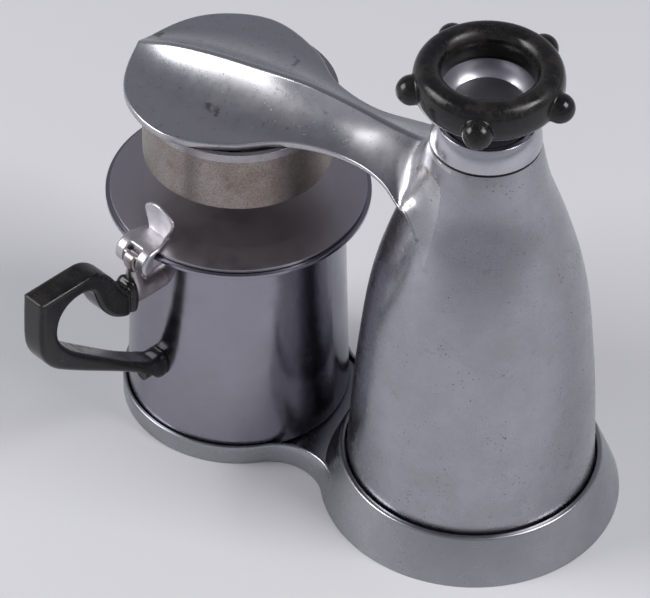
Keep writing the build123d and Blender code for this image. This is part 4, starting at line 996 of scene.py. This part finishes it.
def stub_field(p):
    """Stub that carries the handle, the lug that stands on it for the hinge, and the hinge's pin."""
    (s0, r0), (s1, r1) = STUB
    s = p[..., 0]
    stub = bar(p, (s0, 0, STUB_Z), (s1, 0, STUB_Z), r0, r1)
    stub = np.maximum(stub, s - s1 + STUB_ENDS[1])
    stub = np.maximum(stub, s0 + STUB_ENDS[0] - s)
    (foot, foot_r), (head, head_r) = POST
    post = bar(p, foot, head, foot_r, head_r)
    side = bar(p * (1, 0, 1), *KNUCKLE, KNUCKLE_R, KNUCKLE_R)
    knuckle = slab(side, np.abs(p[..., 1]) - KNUCKLE_R, KNUCKLE_ROUND)
    pin = bar(p, (HINGE_S, -PIN_HALF, PIN_Z), (HINGE_S, PIN_HALF, PIN_Z), PIN_R, PIN_R)
    lug = smooth_min(smooth_min(stub, post, POST_BLEND), knuckle, KNUCKLE_BLEND)
    return np.minimum(lug, pin)


def hinge_field(p):
    """Bent plate of the lid, forked round the lug's knuckle."""
    s, n, z = p[..., 0], p[..., 1], p[..., 2]
    narrow, wide = PLATE_HALF
    half = narrow + (wide - narrow) * smoothstep(*PLATE_WIDENS_S, s)
    plate = slab(outline_distance(SMOOTH_PLATE, s, z), np.abs(n) - half, PLATE_ROUND)
    slot = slab(SLOT_S - s, np.abs(n) - SLOT_HALF, SLOT_ROUND)
    return smooth_max(plate, -slot, SLOT_BLEND)


def leaf_field(p):
    """Upright leaf for the thumb, leaning a little and thicker at its root."""
    s, n, z = p[..., 0], p[..., 1], p[..., 2]
    middle = LEAF_S - LEAF_LEAN * (z - LEAF_LEAN_Z) + LEAF_TWIST * n
    across = np.abs(s - middle) - LEAF_HALF - LEAF_ROOT * smoothstep(*LEAF_ROOT_Z, z)
    return slab(outline_distance(SMOOTH_LEAF, n, z), across, LEAF_ROUND)


def make_handle_pieces():
    """Each row: name, distances, the box and step of the grid, body, slot, material, replaced nodes."""
    pieces = [
        ("handle_moulding", handle_field, (45.5, -7, 36), (118, 7, 124), 0.8,
         "jug", "black_moulding", BLACK, ["jug_handle", "handle_pins"]),
        ("handle_stub", stub_field, (43.5, -9, 86), (65, 9, 117), 0.55,
         "jug", "bracket_metal", STUB_METAL, ["handle_bracket", "hinge_pin"]),
        ("hinge_plate", hinge_field, (44, -9.4, 106), (64, 9.4, 119), 0.5,
         "lid", "hinge_metal", HINGE, ["lid_bracket", "lid_rivets"]),
        ("thumb_leaf", leaf_field, (43.5, -9.4, 115.5), (48, 10, 132), 0.4,
         "lid", "hinge_metal", LEAF_METAL, ["thumb_piece"]),
    ]
    for name, field, low, high, step, body, slot, material, nodes in pieces:
        shell = from_handle_plane(skin(field, low, high, step))
        make_piece(name, shell, body, material, nodes, sharp=70.0)


make_handle_pieces()


# Hand wheel


def wheel_field(p):
    """Ring of a squarish section, with balls set round its outside."""
    x, y, z = p[..., 0], p[..., 1], p[..., 2]
    out = np.abs(np.hypot(x, y) - WHEEL_R) / WHEEL_HALF[0]
    up = np.abs(z - WHEEL_Z) / WHEEL_HALF[1]
    power = WHEEL_SQUARENESS
    ring = ((out ** power + up ** power) ** (1 / power) - 1) * WHEEL_HALF[0]
    for k in range(KNOBS):
        a = radians(KNOB_START + 360 * k / KNOBS)
        centre = np.array((KNOB_AT_R * cos(a), KNOB_AT_R * sin(a), KNOB_Z))
        ring = smooth_min(ring, np.linalg.norm(p - centre, axis=-1) - KNOB_R, KNOB_BLEND)
    return ring


wheel_shell = skin(wheel_field, (-38, -38, 213), (38, 38, 231.5), 0.8)
make_piece("wheel_moulding", wheel_shell, "plug", BLACK, ["hand_wheel"], sharp=70.0)


# Floor, light and camera

FLOOR_HALF = 6.0
FLOOR_DROP = 0.0001
LAMP_TARGET = (-0.04, 0.0, 0.1)
CAMERA_AT = (0.61151, -1.20636, 1.35793)
CAMERA_LENS = 248.09
CAMERA_YAW = 29.551
CAMERA_PITCH = 42.885
CAMERA_ROLL = 1.041


def make_floor():
    mesh = bpy.data.meshes.new("floor")
    half = FLOOR_HALF
    corners = [(-half, -half, 0), (half, -half, 0), (half, half, 0), (-half, half, 0)]
    mesh.from_pydata(corners, [], [(0, 1, 2, 3)])
    floor = bpy.data.objects.new("floor", mesh)
    bpy.context.scene.collection.objects.link(floor)
    floor.location.z = -FLOOR_DROP
    material = bpy.data.materials.new("pale_floor")
    material.use_nodes = True
    shader = material.node_tree.nodes["Principled BSDF"]
    shader.inputs["Base Color"].default_value = rgb(0.72, 0.72, 0.74)
    shader.inputs["Roughness"].default_value = 0.9
    shader.inputs["Specular IOR Level"].default_value = 0.2
    mesh.materials.append(material)


def make_world():
    """Soft studio surround: pale near the horizon and darker overhead."""
    world = bpy.data.worlds.new("studio")
    bpy.context.scene.world = world
    world.use_nodes = True
    t = Tree(world.node_tree)
    background = world.node_tree.nodes["Background"]
    coords = t.add("ShaderNodeTexCoord").outputs["Generated"]
    parts = t.add("ShaderNodeSeparateXYZ")
    t.link(coords, parts.inputs[0])
    shade = t.ramp(parts.outputs[2], [(0.0, rgb(0.50, 0.50, 0.54)), (1.0, rgb(0.15, 0.15, 0.18)),
                                      (0.35, rgb(0.30, 0.30, 0.34))])
    t.link(shade, background.inputs["Color"])
    background.inputs["Strength"].default_value = 1.0


def add_lamp(name, azimuth, elevation, distance, size, power):
    """Square soft lamp that faces the object."""
    light = bpy.data.lights.new(name, "AREA")
    light.shape = "SQUARE"
    light.size = size
    light.energy = power
    lamp = bpy.data.objects.new(name, light)
    bpy.context.scene.collection.objects.link(lamp)
    a, e = radians(azimuth), radians(elevation)
    back = Vector((sin(a) * cos(e), -cos(a) * cos(e), sin(e)))
    lamp.location = Vector(LAMP_TARGET) + back * distance
    lamp.rotation_mode = "QUATERNION"
    lamp.rotation_quaternion = back.to_track_quat("Z", "Y")


def make_camera():
    """Long lens, looking down on the object from its front right."""
    yaw, pitch, roll = radians(CAMERA_YAW), radians(CAMERA_PITCH), radians(CAMERA_ROLL)
    forward = Vector((-sin(yaw) * cos(pitch), cos(yaw) * cos(pitch), -sin(pitch)))
    level = Vector((cos(yaw), sin(yaw), 0.0))
    upward = level.cross(forward)
    right = level * cos(roll) + upward * sin(roll)
    up = upward * cos(roll) - level * sin(roll)
    data = bpy.data.cameras.new("camera")
    data.sensor_fit = "HORIZONTAL"
    data.sensor_width = 36.0
    data.lens = CAMERA_LENS
    data.clip_start = 0.1
    data.clip_end = 20.0
    camera = bpy.data.objects.new("camera", data)
    bpy.context.scene.collection.objects.link(camera)
    turn = Matrix((right, up, -forward)).transposed().to_4x4()
    camera.matrix_world = Matrix.Translation(Vector(CAMERA_AT)) @ turn
    bpy.context.scene.camera = camera


make_floor()
make_world()
add_lamp("right_lamp", azimuth=98.0, elevation=46.0, distance=1.6, size=0.7, power=15.0)
add_lamp("left_lamp", azimuth=-58.0, elevation=33.0, distance=1.6, size=0.8, power=15.0)
make_camera()
bpy.context.scene.view_settings.view_transform = "Standard"
